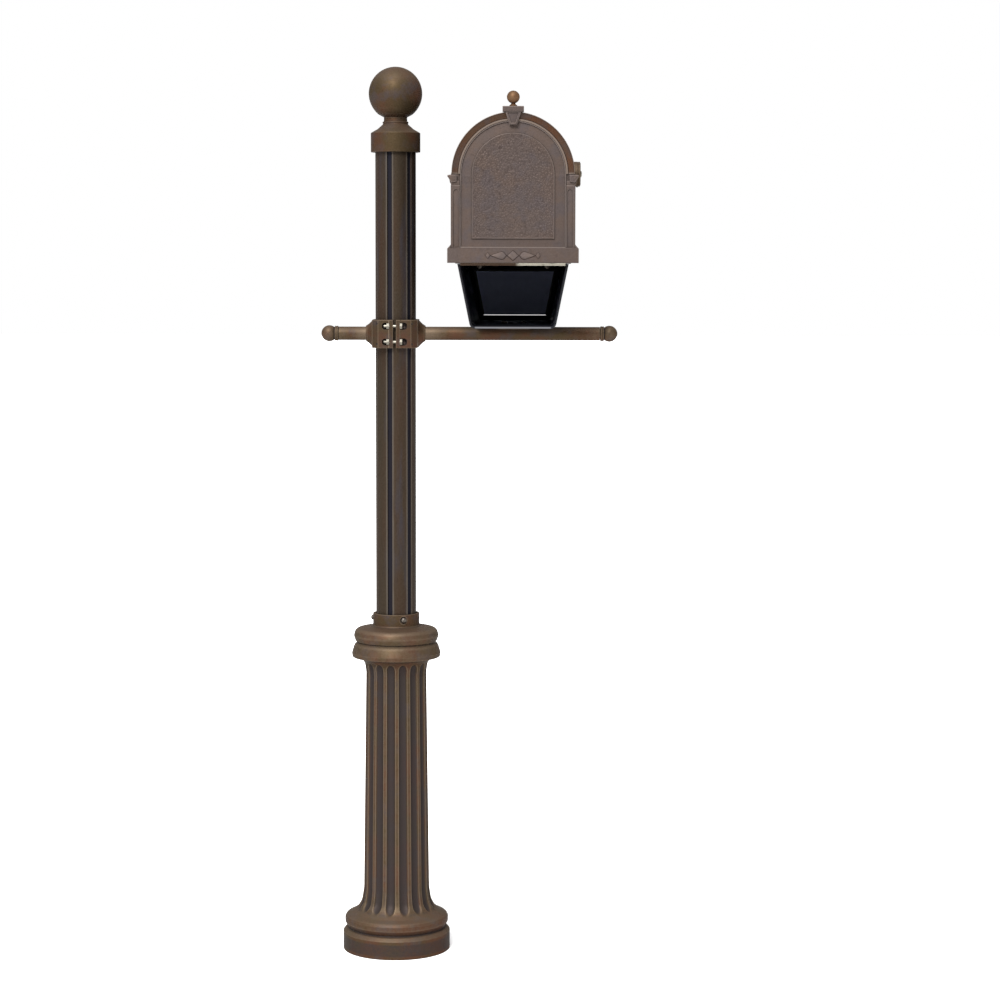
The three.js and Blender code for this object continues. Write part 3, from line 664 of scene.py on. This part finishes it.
def base_profile():
    """The base cover's outside from its foot to its collar, then back down its inside."""
    corners = [
        (94, 0), (101.9, 0, 1.2), (101.9, 34.8, 2.6), (97.0, 40.4, 3), (91.2, 42.4, 0.8), (93.6, 45.2, 4),
        (98.5, 52.5, 9), (98.5, 61.5, 4), (96.6, 65.2, 0.8), (94.6, 67.0, 0.8), (85.5, 71.4, 9),
        (75, 78.5, 14), (66.2, 93, 30), (62.4, 118, 70),
        (57.2, 535, 40), (60, 552.5, 16), (67, 560.5, 8), (76, 562.2, 4), (83.2, 563.4, 2.4),
        (84.4, 571, 6), (79.6, 587, 14), (73.4, 592.2, 1.0), (77.4, 594.0, 3), (80.8, 604, 9), (77, 617, 13),
        (60, 620.4, 14), (46, 622.4, 2.5), (44, 625, 2), (44, 647, 1.0), (39.2, 647, 0.8), (39.2, 612),
        (50, 600), (48.5, 530), (53, 118), (66, 88), (88, 62), (94, 34),
    ]
    return rounded(corners, degrees_per_step=9)


def refined(points, longest, low, high):
    """The polyline with its long stretches between two heights split."""
    result = []
    for (r0, z0), (r1, z1) in zip(points, points[1:] + points[:1]):
        result.append((r0, z0))
        if low < (z0 + z1) / 2 < high:
            pieces = math.ceil(math.hypot(r1 - r0, z1 - z0) / longest)
            result += [(r0 + (r1 - r0) * k / pieces, z0 + (z1 - z0) * k / pieces) for k in range(1, pieces)]
    return result


COLLAR_SCREWS = (21.3, 141.3, -98.7)
COLLAR_SCREW_Z = 637


def build_base():
    profile = base_profile()
    spans = ((8, 1.5, 33), (2.2, 70, 104), (60, 104, 530), (1.8, 530, 558), (1.1, 629, 645))
    for longest, low, high in spans:
        profile = refined(profile, longest, low, high)
    steps = FLUTES * 28

    def outside(radius, z):
        return FLUTE_LOW < z < FLUTE_HIGH and radius > 56.9

    def shape(degrees, radius, z):
        if outside(radius, z):
            return radius - FLUTE_DEPTH * flute_share(degrees, radius, z)
        if z < COLLAR_SCREW_Z - 8 or radius < 43:
            return radius
        # A sunk seat round each screw in the collar.
        around = min(abs((degrees - screw + 180) % 360 - 180) for screw in COLLAR_SCREWS)
        away = math.hypot(math.radians(around) * radius, z - COLLAR_SCREW_Z)
        return radius - 1.7 * min(max((7.0 - away) / 1.2, 0), 1)

    mesh = revolve("base", profile, steps, shape)
    finish_mesh("base", mesh, "bronze_coat", "post", ["base_cover"], smooth=50, wear_and_painted_light=False)
    # Painted shade on the flutes' bottoms, on the plinth's face as if the light fell from above, and under
    # the torus; the ridges between the flutes are rubbed bright.
    values = exposure(mesh, gain=6, passes=3)
    for vertex in mesh.vertices:
        x, y, z = vertex.co / MM
        radius = math.hypot(x, y)
        if outside(radius + FLUTE_DEPTH, z) and radius > 52.5:
            share = flute_share(math.degrees(math.atan2(x, -y)), radius, z)
            if share > 0:
                values[vertex.index] = 0.5 - 0.42 * min(share * 1.15, 1)
            elif 84 < z < 548:
                values[vertex.index] = max(0.66, values[vertex.index])
        elif 3 < z < 31 and radius > 100:
            values[vertex.index] = 0.26
        elif 42 < z < 52 and radius > 90:
            values[vertex.index] = min(values[vertex.index], 0.22 + 0.028 * (z - 42))
    store_wear_and_light(mesh, values)


def build_cap_and_ball():
    low, high = box_mm("post_cap")
    bottom, edge, seat = low.z, 1553, high.z
    corners = [
        (38.8, bottom), (45.6, bottom, 0.6), (46.3, bottom + 1.2, 0.6), (46.3, edge - 1.2, 0.9),
        (44.6, edge, 0.6), (33.5, 1559.2, 26), (24.2, 1567.6, 3), (23.4, 1569.2, 0.6),
        (24.3, 1570.6, 0.7), (24.1, 1572.6, 0.7),
        (21.9, 1573.6, 0.5), (21.7, seat, 0.3), (6.6, seat), (6.6, edge), (38.8, edge),
    ]
    mesh = revolve("post_cap", rounded(corners, degrees_per_step=8), 96)
    finish_mesh("post_cap", mesh, "bronze_coat", "post", ["post_cap"], smooth=40)

    low, high = box_mm("finial_ball")
    radius = (high.x - low.x) / 2
    centre = high.z - radius
    # The ball draws in to its neck through a small hollow curve.
    neck = rounded([(21.7, low.z, 0), (21.7, low.z + 1.8, 5.5), (30.4, centre - 39.6, 0)], closed=False)
    bore = [(0, low.z + 24), (6.6, low.z + 24), (6.6, low.z)]
    mesh = revolve("finial_ball", bore + neck[:-1] + ball_profile(radius, centre, -51, 44), 112)
    finish_mesh("finial_ball", mesh, "bronze_coat", "post", ["finial_ball"])


# ------------------------------------------------------------------ arm and clamp

ARM_Z = 1177


def build_arm():
    for side, name in ((-1, "left"), (1, "right")):
        low, high = box_mm(f"arm_{name}")
        inner, outer = (low.x, high.x) if side > 0 else (-high.x, -low.x)
        corners = [(10.2, inner), (12.7, inner), (12.7, outer, 0.5), (10.2, outer)]
        mesh = revolve(f"arm_{name}", refined(rounded(corners), 30, inner, outer), 64)
        mesh = moved(turned(mesh, 90 * side, "Y"), z=ARM_Z)
        finish_mesh(f"arm_{name}", mesh, "bronze_coat", "post", [f"arm_{name}"])

        low, high = box_mm(f"arm_end_{name}")
        radius = (high.z - low.z) / 2
        centre = (high.x if side > 0 else -low.x) - radius
        shoulder = centre - 17.3
        corners = [
            (0, shoulder - 16), (9.8, shoulder - 16, 1), (9.8, shoulder), (12.9, shoulder, 0.5),
            (14.1, shoulder + 1.5, 1), (14.1, shoulder + 3.0, 0.6), (13.1, shoulder + 3.9, 0.5),
            (14.1, shoulder + 4.8, 0.6), (14.1, shoulder + 6.2, 0.8), (12.2, centre - 10.0, 0.6),
        ]
        profile = rounded(corners, closed=False) + ball_profile(radius, centre, -38, 24)
        mesh = moved(turned(revolve(f"arm_end_{name}", profile, 64), 90 * side, "Y"), z=ARM_Z)
        finish_mesh(f"arm_end_{name}", mesh, "bronze_coat", "post", [f"arm_end_{name}"], smooth=30)


def build_clamp():
    low, high = box_mm("clamp_right")
    half_height = (high.z - low.z) / 2
    split, out, front = low.x, 43, -low.y
    bolt_y, bolt_z = 46.5, 14.8
    dimple_x, dimple_z = 33.5, 19
    for side, name in ((-1, "left"), (1, "right")):
        # The right half's flange stands a little proud of the face behind it.
        step = 1.4 if side > 0 else 0.3
        bore = arc(0, 0, 38.8, 86, -86, 40)
        near = [(split, -front, 0.9), (9.8, -front, 0.6), (11.4, step - front),
                (out - 12, step - front, 1.5), (out, 12 - front, 4)]
        outer = rounded(near + [(x, -y, *radius) for x, y, *radius in reversed(near)])
        drawn_in = [(22 + (x - 22) * 0.96, y * 0.976) for x, y in outer]
        body = prism("clamp", outer + bore, -half_height, half_height, drawn_in + bore, 1.1)
        boss_corners = [(13.2, 40.5), (25.6, 40.5), (25.6, 43.4, 1), (22.4, 46.2, 2), (17.4, 51.4, 2),
                        (16.6, 53.4, 1), (15.4, 54, 0.8), (15.2, 56, 0.8), (13.2, 56)]
        boss = turned(revolve("boss", rounded(boss_corners), 64), 90, "Y")
        cutters = []
        hole = [(0, -2), (3.2, -2), (3.2, 9.6), (7, 9.6), (7, 19.5), (4.5, 23), (0, 23.6)]
        for y in (-bolt_y, bolt_y):
            for z in (-bolt_z, bolt_z):
                cutters.append(moved(turned(revolve("hole", hole, 32), 90, "Y"), y=y, z=z))
        for z in (-dimple_z, dimple_z):
            dimple = revolve("dimple", [(0, 45.8), (1.2, 45.9), (2.3, 47), (2.3, 60), (0, 60)], 20)
            cutters.append(moved(turned(dimple, 90, "X"), x=dimple_x, z=z))
        mesh = cut(body, cutters)
        mesh = joined("clamp", [mesh, boss])
        if side < 0:
            mesh = turned(turned(mesh, 180, "Z"), 180, "X")
        mesh = moved(mesh, z=ARM_Z)
        piece = finish_mesh(f"clamp_{name}", mesh, "bronze_coat", "post", [f"clamp_{name}"],
                            smooth=30, level=0.37)
        # Painted shade inside the bolt pockets and the dimples.
        values = piece.data.attributes["wear_and_painted_light"].data
        for face in piece.data.polygons:
            x, y, z = face.center / MM
            in_pocket = math.hypot(abs(y) - bolt_y, abs(z - ARM_Z) - bolt_z) < 6.9 and 9 < abs(x) < 24
            in_dimple = math.hypot(abs(x) - dimple_x, abs(z - ARM_Z) - dimple_z) < 2.1
            if in_pocket or in_dimple:
                for corner in face.loop_indices:
                    values[corner].value = 0.05


# ------------------------------------------------------------------ letter box

# The door's plate gives the box its own origin: its middle, and its bottom edge.
door_low, door_high = box_mm("door_casting")
shell_low, shell_high = box_mm("box_shell")
BOX_X = (door_low.x + door_high.x) / 2
BOX_Z = door_low.z
SPRING = 157.3
ARCH_HALF, ARCH_SPRING = 110.0, 158.3
DOOR_BACK = door_high.y
FIELD = DOOR_BACK - 5
FRAME_FACE = FIELD - 6
FLAG_Y, FLAG_Z = -150, 161


def on_box(mesh):
    return moved(mesh, x=BOX_X, z=BOX_Z)


def arched(half, bottom, radius):
    """An arched outline in (x, z) with its foot at bottom."""
    corners = [(half, bottom + 30), (half, bottom, radius), (-half, bottom, radius), (-half, bottom + 30)]
    return arc(0, SPRING, half, 0, 180, 64) + rounded(corners, closed=False)[::-1][1:-1]


def box_outline(half, skirt_half, crown_half, arch_half=None, spring=SPRING):
    """The letter box's outline with its skirt at the foot and its moulding at the arch's spring."""
    reach = crown_half - half
    side = [
        (skirt_half, 0, 1), (skirt_half, 25.5, 1), (half, 33, 2), (half, 140.5, 1),
        (half + reach * 0.30, 143.5, 2), (half + reach * 0.40, 148, 3),
        (crown_half, 153.8, 0.8), (crown_half, 156.2, 0.8), (half, 157.2, 0.4),
    ]
    right = rounded([(0, 0)] + side, closed=False)[1:]
    left = [(-x, z) for x, z in reversed(right)]
    return right + arc(0, spring, arch_half or half, 0, 180, 72)[1:-1] + left


def swept_arch(name, section, foot=None):
    """A moulding over the arch, from (radius, depth forward). It runs on down to foot, if that is given."""
    def ring(angle, drop=0):
        centre = ARCH_SPRING - drop
        return [(r * math.cos(angle), FIELD - d, centre + r * math.sin(angle)) for r, d in section]

    steps = 96
    rings = [ring(math.radians(180 * i / steps)) for i in range(steps + 1)]
    if foot is not None:
        drop = ARCH_SPRING - foot
        rings = [ring(0, drop), *rings, ring(math.pi, drop)]
    mesh = grid_mesh(name, rings)
    close_ends(mesh, len(section))
    return mesh


def close_ends(mesh, count):
    """Fills the first and the last ring of a mesh whose rings hold count points."""
    work = bmesh.new()
    work.from_mesh(mesh)
    work.verts.ensure_lookup_table()
    work.faces.new([work.verts[i] for i in range(count)])
    work.faces.new([work.verts[-1 - i] for i in range(count)])
    work.to_mesh(mesh)
    work.free()


def build_door_casting():
    outline = box_outline(111.2, 117.5, 117.2, ARCH_HALF - 0.2, ARCH_SPRING)
    back = wall("door", outline, FIELD, DOOR_BACK, 0.5)

    # Mouldings over the arch: an outer fillet, a cove, a bead, and a slim bead that frames the field.
    outer = [(ARCH_HALF, 0.2), (ARCH_HALF, 5.4), (109.8, 6.1), (109.2, 6.3), (108.8, 6.0)]
    cove = [(108.7 - 10.1 * k / 14, 5.2 - 4.2 * math.sin(math.pi / 2 * k / 14)) for k in range(15)]
    inner = [(98.4, 1.2), (98.1, 2.8), (97.6, 3.6), (95.6, 3.9), (94.6, 3.6), (94.2, 0.2)]
    arch = swept_arch("arch", outer + cove + inner)
    bead = [(94.6, 0.2), (94.6, 1.4), (94.1, 2.4), (93.6, 2.9), (92.9, 2.9), (92.5, 2.4), (92.3, 0.2)]
    frame_bead = swept_arch("bead", bead, foot=27)
    sill = wall("sill", rounded([(-94.6, 25), (94.6, 25), (94.6, 28.6, 1), (-94.6, 28.6, 1)]),
                FIELD - 3.2, FIELD + 0.5, 0.8)

    # Pilasters with a sunk, round-topped panel.
    parts = []
    niche_r, niche_x = 4.9, 101.6
    for side in (-1, 1):
        inner_x, outer_x = 94.4, 111.2
        block = rounded([(inner_x, 24), (outer_x, 24), (outer_x, 138, 0.6), (inner_x, 138, 0.6)])
        sunk = arc(niche_x, 126, niche_r, 0, 180, 18) + [(niche_x - niche_r, 28), (niche_x + niche_r, 28)]
        block = [(side * x, z) for x, z in block]
        sunk = [(side * x, z) for x, z in sunk]
        parts.append(wall("pilaster", block, FRAME_FACE + 0.6, FIELD + 0.5, 0.9, [sunk]))
        floor = [(niche_x - 6, 26), (niche_x + 6, 26), (niche_x + 6, 133), (niche_x - 6, 133)]
        floor = [(side * x, z) for x, z in rounded(floor)]
        parts.append(wall("niche", floor, FIELD - 3.2, FIELD + 0.5, 0.2))
        # The neck above the pilaster, and the crown block that the arch springs from.
        neck = rounded([(95.5, 136), (110.6, 136), (110.6, 146), (95.5, 146)])
        parts.append(wall("neck", [(side * x, z) for x, z in neck], FIELD - 4.2, FIELD + 0.5, 0.5))
        crown = rounded([(100.6, 144.5, 1.5), (110.4, 142.8, 2), (112.8, 147.5, 3), (117.2, 153.6, 0.6),
                         (117.2, 155.6, 0.6), (110, 156.8, 0.8), (100.6, 156.8, 1.5)])
        parts.append(wall("crown", [(side * x, z) for x, z in crown], FRAME_FACE - 2.2, FIELD + 0.5, 1.1))

    band = rounded([(-117.5, 0, 0.8), (117.5, 0, 0.8), (117.5, 25.6, 1.2), (111.2, 32.4, 1),
                    (111.0, 26.6, 0), (-111.0, 26.6, 0), (-111.2, 32.4, 1), (-117.5, 25.6, 1.2)])
    parts.append(wall("band", band, FRAME_FACE - 2.4, FIELD + 0.5, 1.2))
    mesh = joined("door_frame", [back, frame_bead, sill, *parts])
    finish_mesh("door_frame", on_box(mesh), "door_coat", "door", ["door_casting"], smooth=32)
    finish_mesh("door_arch", on_box(arch), "cove_coat", "door", [], smooth=32)
    build_band_ornament(FRAME_FACE - 2.4)
    build_keystone()


def build_band_ornament(face):
    """A plain relief along the band: a lozenge between pointed leaves, each on a thin plate a little larger
    than itself that paints a dark shadow round it.
    """
    middle = 13.2

    def lozenge(at, half_wide, half_tall):
        return [(at - half_wide, middle, 0.5), (at, middle - half_tall, 0.8), (at + half_wide, middle, 0.5),
                (at, middle + half_tall, 0.8)]

    def leaf(near, far, half_tall):
        return [(near, middle, 0.5), (near + (far - near) * 0.22, middle - half_tall, 7), (far, middle, 0.5),
                (near + (far - near) * 0.22, middle + half_tall, 7)]

    shapes = [lozenge(0, 10, 8.6)]
    for side in (-1, 1):
        shapes += [leaf(side * 12, side * 40, 7.6), lozenge(side * 45, 4.2, 5.6)]
    raised, shadow_plates = [], []
    for outline in shapes:
        top = rounded(outline, degrees_per_step=15)
        raised.append(wall("leaf", top, face - 1.3, face + 0.6, 0.65, edge_steps=2))
        centre = sum(corner[0] for corner in outline) / len(outline)
        # Painted shadow: a slightly larger, thin dark plate under each shape.
        wide = [(centre + (x - centre) * 1.14, middle + (z - middle) * 1.16, r) for x, z, r in outline]
        under = rounded(wide, degrees_per_step=15)
        shadow_plates.append(wall("seat", under, face - 0.22, face + 0.6, 0.1, edge_steps=1))
    shadow = joined("band_painted_shadow", shadow_plates)
    store_wear_and_light(shadow, [0.16] * len(shadow.vertices))
    finish_mesh("band_painted_shadow", on_box(shadow), "door_coat", "door", [], smooth=32)
    relief = joined("band_relief", raised)
    store_wear_and_light(relief, [0.66 if vertex.co.y < face - 1.1 else 0.45 for vertex in relief.vertices])
    finish_mesh("band_relief", on_box(relief), "door_coat", "door", [], smooth=32)


def build_keystone():
    stone = [(-6.6, 245, 0.6), (6.6, 245, 0.6), (14.2, 268.6, 0), (-14.2, 268.6, 0)]
    sunk = [(-3.6, 248.4, 0.4), (3.6, 248.4, 0.4), (9.8, 266.2, 0.4), (-9.8, 266.2, 0.4)]
    rim = wall("stone", rounded(stone), FRAME_FACE - 3.6, FIELD + 0.5, 0.9, [rounded(sunk)])
    middle = [(-5, 247), (5, 247), (11, 267), (-11, 267)]
    middle = wall("middle", rounded(middle), FRAME_FACE - 1.4, FIELD, 0.2)
    cap = wall("cap", rounded([(-19, 267.7, 0.8), (19, 267.7, 0.8), (19, 278, 1.2), (-19, 278, 1.2)]),
               FRAME_FACE - 6, DOOR_BACK, 1.1)
    mesh = joined("keystone", [rim, middle, cap])
    finish_mesh("keystone", on_box(mesh), "door_coat", "door", [], smooth=32)


def build_door_panel():
    """The raised panel: an arched plate whose face is pebbled like leather."""
    half, bottom, rise = 74.7, 42.4, 3.0
    columns, rows = 240, 210
    cell, pebble_height, border = 3.7, 0.55, 2.0
    front, wear_and_painted_light = [], []
    for i in range(columns + 1):
        x = half * math.sin(math.pi / 2 * (2 * i / columns - 1))
        top = SPRING + math.sqrt(max(half * half - x * x, 0))
        line = []
        for j in range(rows + 1):
            z = bottom + (top - bottom) * j / rows
            if z > SPRING:
                inset = half - math.hypot(x, z - SPRING)
            else:
                inset = min(half - abs(x), z - bottom)
            inset = max(inset, 0)
            edge = min(inset / 1.3, 1)
            height = rise * math.sqrt(max(1 - (1 - edge) ** 2, 0))
            inner = min(max((inset - border) / 1.5, 0), 1)
            along, across = (x + z) * 0.7071, (x - z) * 0.7071
            distances, _ = noise.voronoi(Vector((along / (0.8 * cell), across / (1.25 * cell), 3.1)))
            crease = min((distances[1] - distances[0]) * 2.2, 1)
            swell = noise.noise(Vector((x / 9, z / 9, 7.7)))
            height += inner * pebble_height * (crease - 0.75 + 0.35 * swell)
            line.append((x, FIELD - height, z))
            # Painted shade in the creases between pebbles, a painted highlight in a band just inside the
            # edge, and painted shadow round the edge.
            painted_light_and_wear = 0.5 + inner * (crease * 0.30 - 0.20) + (0.22 if 0.8 < inset < border else 0)
            wear_and_painted_light.append(painted_light_and_wear if inset > 0.4 else 0.1)
        front.append(line)
    mesh = grid_mesh("panel", front, closed_around=False)
    work = bmesh.new()
    work.from_mesh(mesh)
    layer = work.verts.layers.float.new("wear_and_painted_light")
    for vertex, painted_light_and_wear in zip(work.verts, wear_and_painted_light):
        vertex[layer] = painted_light_and_wear
    rim = [edge for edge in work.edges if edge.is_boundary]
    made = bmesh.ops.extrude_edge_only(work, edges=rim)["geom"]
    # The panel's sides made here get painted shadow.
    for vertex in (item for item in made if isinstance(item, bmesh.types.BMVert)):
        vertex.co.y = FIELD + 0.5
        vertex[layer] = 0.1
    bmesh.ops.holes_fill(work, edges=[edge for edge in work.edges if edge.is_boundary], sides=0)
    work.to_mesh(mesh)
    work.free()
    finish_mesh("door_panel", on_box(mesh), "door_coat", "door", [], smooth=60, wear_and_painted_light=False)


def build_knob():
    low, high = box_mm("door_knob")
    seat = low.z + 7
    radius = (high.y - low.y) / 2 - 0.05
    centre = high.z - radius
    corners = [(0, low.z), (2.9, low.z), (2.9, seat + 0.3), (7.0, seat + 0.3, 0.5), (7.0, seat + 1.6, 0.5),
               (4.4, seat + 3.0, 1.5), (3.6, centre - 10.6, 1)]
    profile = rounded(corners, closed=False) + ball_profile(radius, centre, -66, 24)
    mesh = moved(revolve("door_knob", profile, 48), x=BOX_X, y=(low.y + high.y) / 2)
    finish_mesh("door_knob", mesh, "knob_coat", "door", ["door_knob"], smooth=30)


def build_shell():
    half, wall_thick = 107, 2.2
    outer = box_outline(half, 114, 115)
    inner = arc(0, SPRING, half - wall_thick, 180, 0, 72)
    section = outer + [(-half + wall_thick, 0)] + inner + [(half - wall_thick, 0)]
    mesh = wall("box_shell", section, shell_low.y, shell_high.y, 0.5, edge_steps=2)

    # The flag turns on a round boss that stands out from the right side.
    face = shell_high.x - BOX_X
    boss_corners = [(3.5, 96), (22.5, 96), (22.5, face, 0.9), (8.9, face, 0.3), (8.9, face - 4.3),
                    (3.5, face - 4.3)]
    boss = turned(revolve("boss", rounded(boss_corners), 72), 90, "Y")
    boss = moved(boss, y=FLAG_Y, z=FLAG_Z)
    inside = [(half - wall_thick, -5), *inner[::-1], (-half + wall_thick, -5)]
    room = wall("room", inside, FLAG_Y - 30, FLAG_Y + 30, 0.01, edge_steps=1)
    mesh = joined("box_shell", [mesh, cut(boss, [room])])
    finish_mesh("box_shell", on_box(mesh), "shell_coat", "post", ["box_shell"], smooth=32)

    low, high = box_mm("box_back")
    panel = wall("back", outer, low.y, high.y - 0.4, 0.4, edge_steps=1)
    raised = wall("raised", arched(86, 24, 4), high.y - 0.8, high.y, 0.35, edge_steps=2)
    finish_mesh("box_back", on_box(joined("box_back", [panel, raised])), "shell_coat", "post", ["box_back"])


# ------------------------------------------------------------------ newspaper box

BACK_SCALE = 0.965  # how wide the newspaper box's back is beside its front


def tube_ring(inset, y, share):
    """One section of the newspaper box, narrowed towards its back."""
    top_half, bottom_half, top, bottom, corner = 98.3, 75, -1.6, -116, 9.5
    lean = (top_half - bottom_half) / (top - bottom)
    slant = math.hypot(1, lean)
    high, low = min(top - inset, top), bottom + inset

    def half_at(z):
        return bottom_half + lean * (z - bottom) - inset * slant

    radius = max(corner - inset, 1.5)
    right = [(half_at(low), low, radius), (half_at(high), high, 0.6)]
    corners = [(-half_at(low), low, radius)] + right + [(-half_at(high), high, 0.6)]
    loop = rounded(corners, degrees_per_step=10)
    scale = 1 + (BACK_SCALE - 1) * share
    return [(x * scale, y, z) for x, z in loop]


def build_paper_tube():
    low, high = box_mm("paper_tube")
    front, back = low.y, high.y
    thick, lip, fillet = 3, 1.4, 14

    def ring(inset, y):
        return tube_ring(inset, y, (y - front) / (back - front))

    inside = [ring(thick + fillet * (1 - math.cos(a)), back - thick - fillet * (1 - math.sin(a)))
              for a in (math.radians(d) for d in range(0, 91, 10))][::-1]
    run = [ring(thick, front + (back - front) * k / 8) for k in range(7, 0, -1)]
    mouth = [ring(thick, front + 6), ring(thick - 0.2, front + 0.8), ring(thick - 0.8, front + 0.1),
             ring(thick - 1.6, front), ring(0.2, front), ring(-lip + 0.6, front + 0.1),
             ring(-lip, front + 0.8), ring(-lip, front + 4.2), ring(-lip + 0.6, front + 5),
             ring(0, front + 5.4)]
    outside = [ring(0, front + (back - front) * k / 8) for k in range(1, 8)]
    rear = [ring(fillet * (1 - math.cos(a)), back - fillet * (1 - math.sin(a)))
            for a in (math.radians(d) for d in range(0, 91, 15))]
    rings = inside + run + mouth + outside + rear
    mesh = grid_mesh("paper_tube", rings)
    close_ends(mesh, len(rings[0]))
    # A thin slot at the back wall's foot lets water out.
    floor = low.z - BOX_Z + lip + thick
    gap = [(-61, back - 20), (61, back - 20), (61, back + 5), (-61, back + 5)]
    mesh = cut(mesh, [prism("slot", gap, floor + 9.7, floor + 10.7)])
    # The back gets a pale bluish painted light, inside and out, and the front rim a grey painted highlight
    # along its foot.
    painted_light_and_wear = []
    for vertex in mesh.vertices:
        x, y, z = vertex.co
        at_back = y > back - thick - 0.1 and z > floor + 13
        at_rim = y < front + 0.5 and z < floor - 1 and abs(x) < 68
        painted_light_and_wear.append(1.0 if at_back else (0.0 if at_rim else 0.3))
    store_wear_and_light(mesh, painted_light_and_wear)
    finish_mesh("paper_tube", on_box(mesh), "tube_plastic", "post", ["paper_tube"], smooth=40, wear_and_painted_light=False)


def build_saddle():
    low, high = box_mm("arm_saddle")
    outline = rounded([(low.x, low.y, 5), (high.x, low.y, 5), (high.x, high.y, 5), (low.x, high.y, 5)])
    block = plate("saddle", outline, low.z, high.z, 0.8)
    seat = [(0, low.x - 5), (13.1, low.x - 5), (13.1, high.x + 5), (0, high.x + 5)]
    rest = moved(turned(revolve("rest", seat, 48), 90, "Y"), z=ARM_Z)
    finish_mesh("arm_saddle", cut(block, [rest]), "bronze_coat", "post", ["arm_saddle"])


# ------------------------------------------------------------------ signal flag

def build_flag():
    low, high = box_mm("signal_flag")
    hub_r, arm_half, blade_half, arm_end = 22.4, 8, 18, 150
    tip = high.y - FLAG_Y
    meets = math.degrees(math.asin(arm_half / hub_r))

    lower = [(arm_end - 10, -arm_half, 6), (arm_end, -blade_half, 4), (tip, -blade_half, 4)]
    outline = rounded(lower + [(y, -z, r) for y, z, r in reversed(lower)], closed=False)
    hub = arc(0, 0, hub_r, meets, 360 - meets, 48)
    hole = arc(0, 0, 3.4, 0, 345, 23)
    flat = plate("flag", hub + outline, low.x, high.x - 0.9, 0.7, [hole])
    # A raised rim round the blade, a rib along the arm and a ring on the hub.
    blade = [(arm_end + 3, -blade_half + 2, 3), (tip - 2, -blade_half + 2, 3), (tip - 2, blade_half - 2, 3),
             (arm_end + 3, blade_half - 2, 3)]
    sunk = [(arm_end + 6.5, -blade_half + 5.5, 2), (tip - 5.5, -blade_half + 5.5, 2),
            (tip - 5.5, blade_half - 5.5, 2), (arm_end + 6.5, blade_half - 5.5, 2)]
    level = high.x - 1.2
    rim = plate("rim", rounded(blade), level, high.x, 0.4, [rounded(sunk)], edge_steps=2)
    rib = plate("rib", rounded([(21, -3, 2.8), (arm_end + 4, -3, 2.8), (arm_end + 4, 3, 2.8), (21, 3, 2.8)]),
                level, high.x - 0.1, 0.4, edge_steps=2)
    ring, bore = arc(0, 0, 20.4, 0, 355, 71), arc(0, 0, 9.5, 0, 355, 71)
    ring = plate("ring", ring, level, high.x, 0.4, [bore], edge_steps=2)
    mesh = joined("signal_flag", [flat, rim, rib, ring])
    stand = Matrix(((0, 0, 1, 0), (1, 0, 0, 0), (0, 1, 0, 0), (0, 0, 0, 1)))
    mesh.transform(stand)
    mesh = moved(mesh, y=FLAG_Y, z=BOX_Z + FLAG_Z)
    finish_mesh("signal_flag", mesh, "shell_coat", "flag", ["signal_flag"], smooth=32)


# ------------------------------------------------------------------ the CAD pieces that stay

def dress_cad_nodes():
    """Gives each CAD piece that stays a real finish and softened edges."""
    slots = {entry["node"]: entry["material_slot"] for entry in frame["record"]["subparts"]}
    special = {"box_floor": "floor_coat", "hinge_leaf_body": "hinge_steel", "hinge_leaf_door": "hinge_steel",
               "hinge_pin": "hinge_steel"}
    for name, piece in frame["nodes"].items():
        piece.data.materials.clear()
        piece.data.materials.append(MATERIALS[special.get(name, slots[name])])
        soften = piece.modifiers.new("soft_edges", "BEVEL")
        soften.width = 0.35 * MM
        soften.segments = 2
        soften.limit_method = "ANGLE"
        soften.angle_limit = math.radians(50)


add_camera()
add_studio()
dress_cad_nodes()
build_post()
build_base()
build_cap_and_ball()
build_arm()
build_clamp()
build_door_casting()
build_door_panel()
build_knob()
build_shell()
build_paper_tube()
build_saddle()
build_flag()
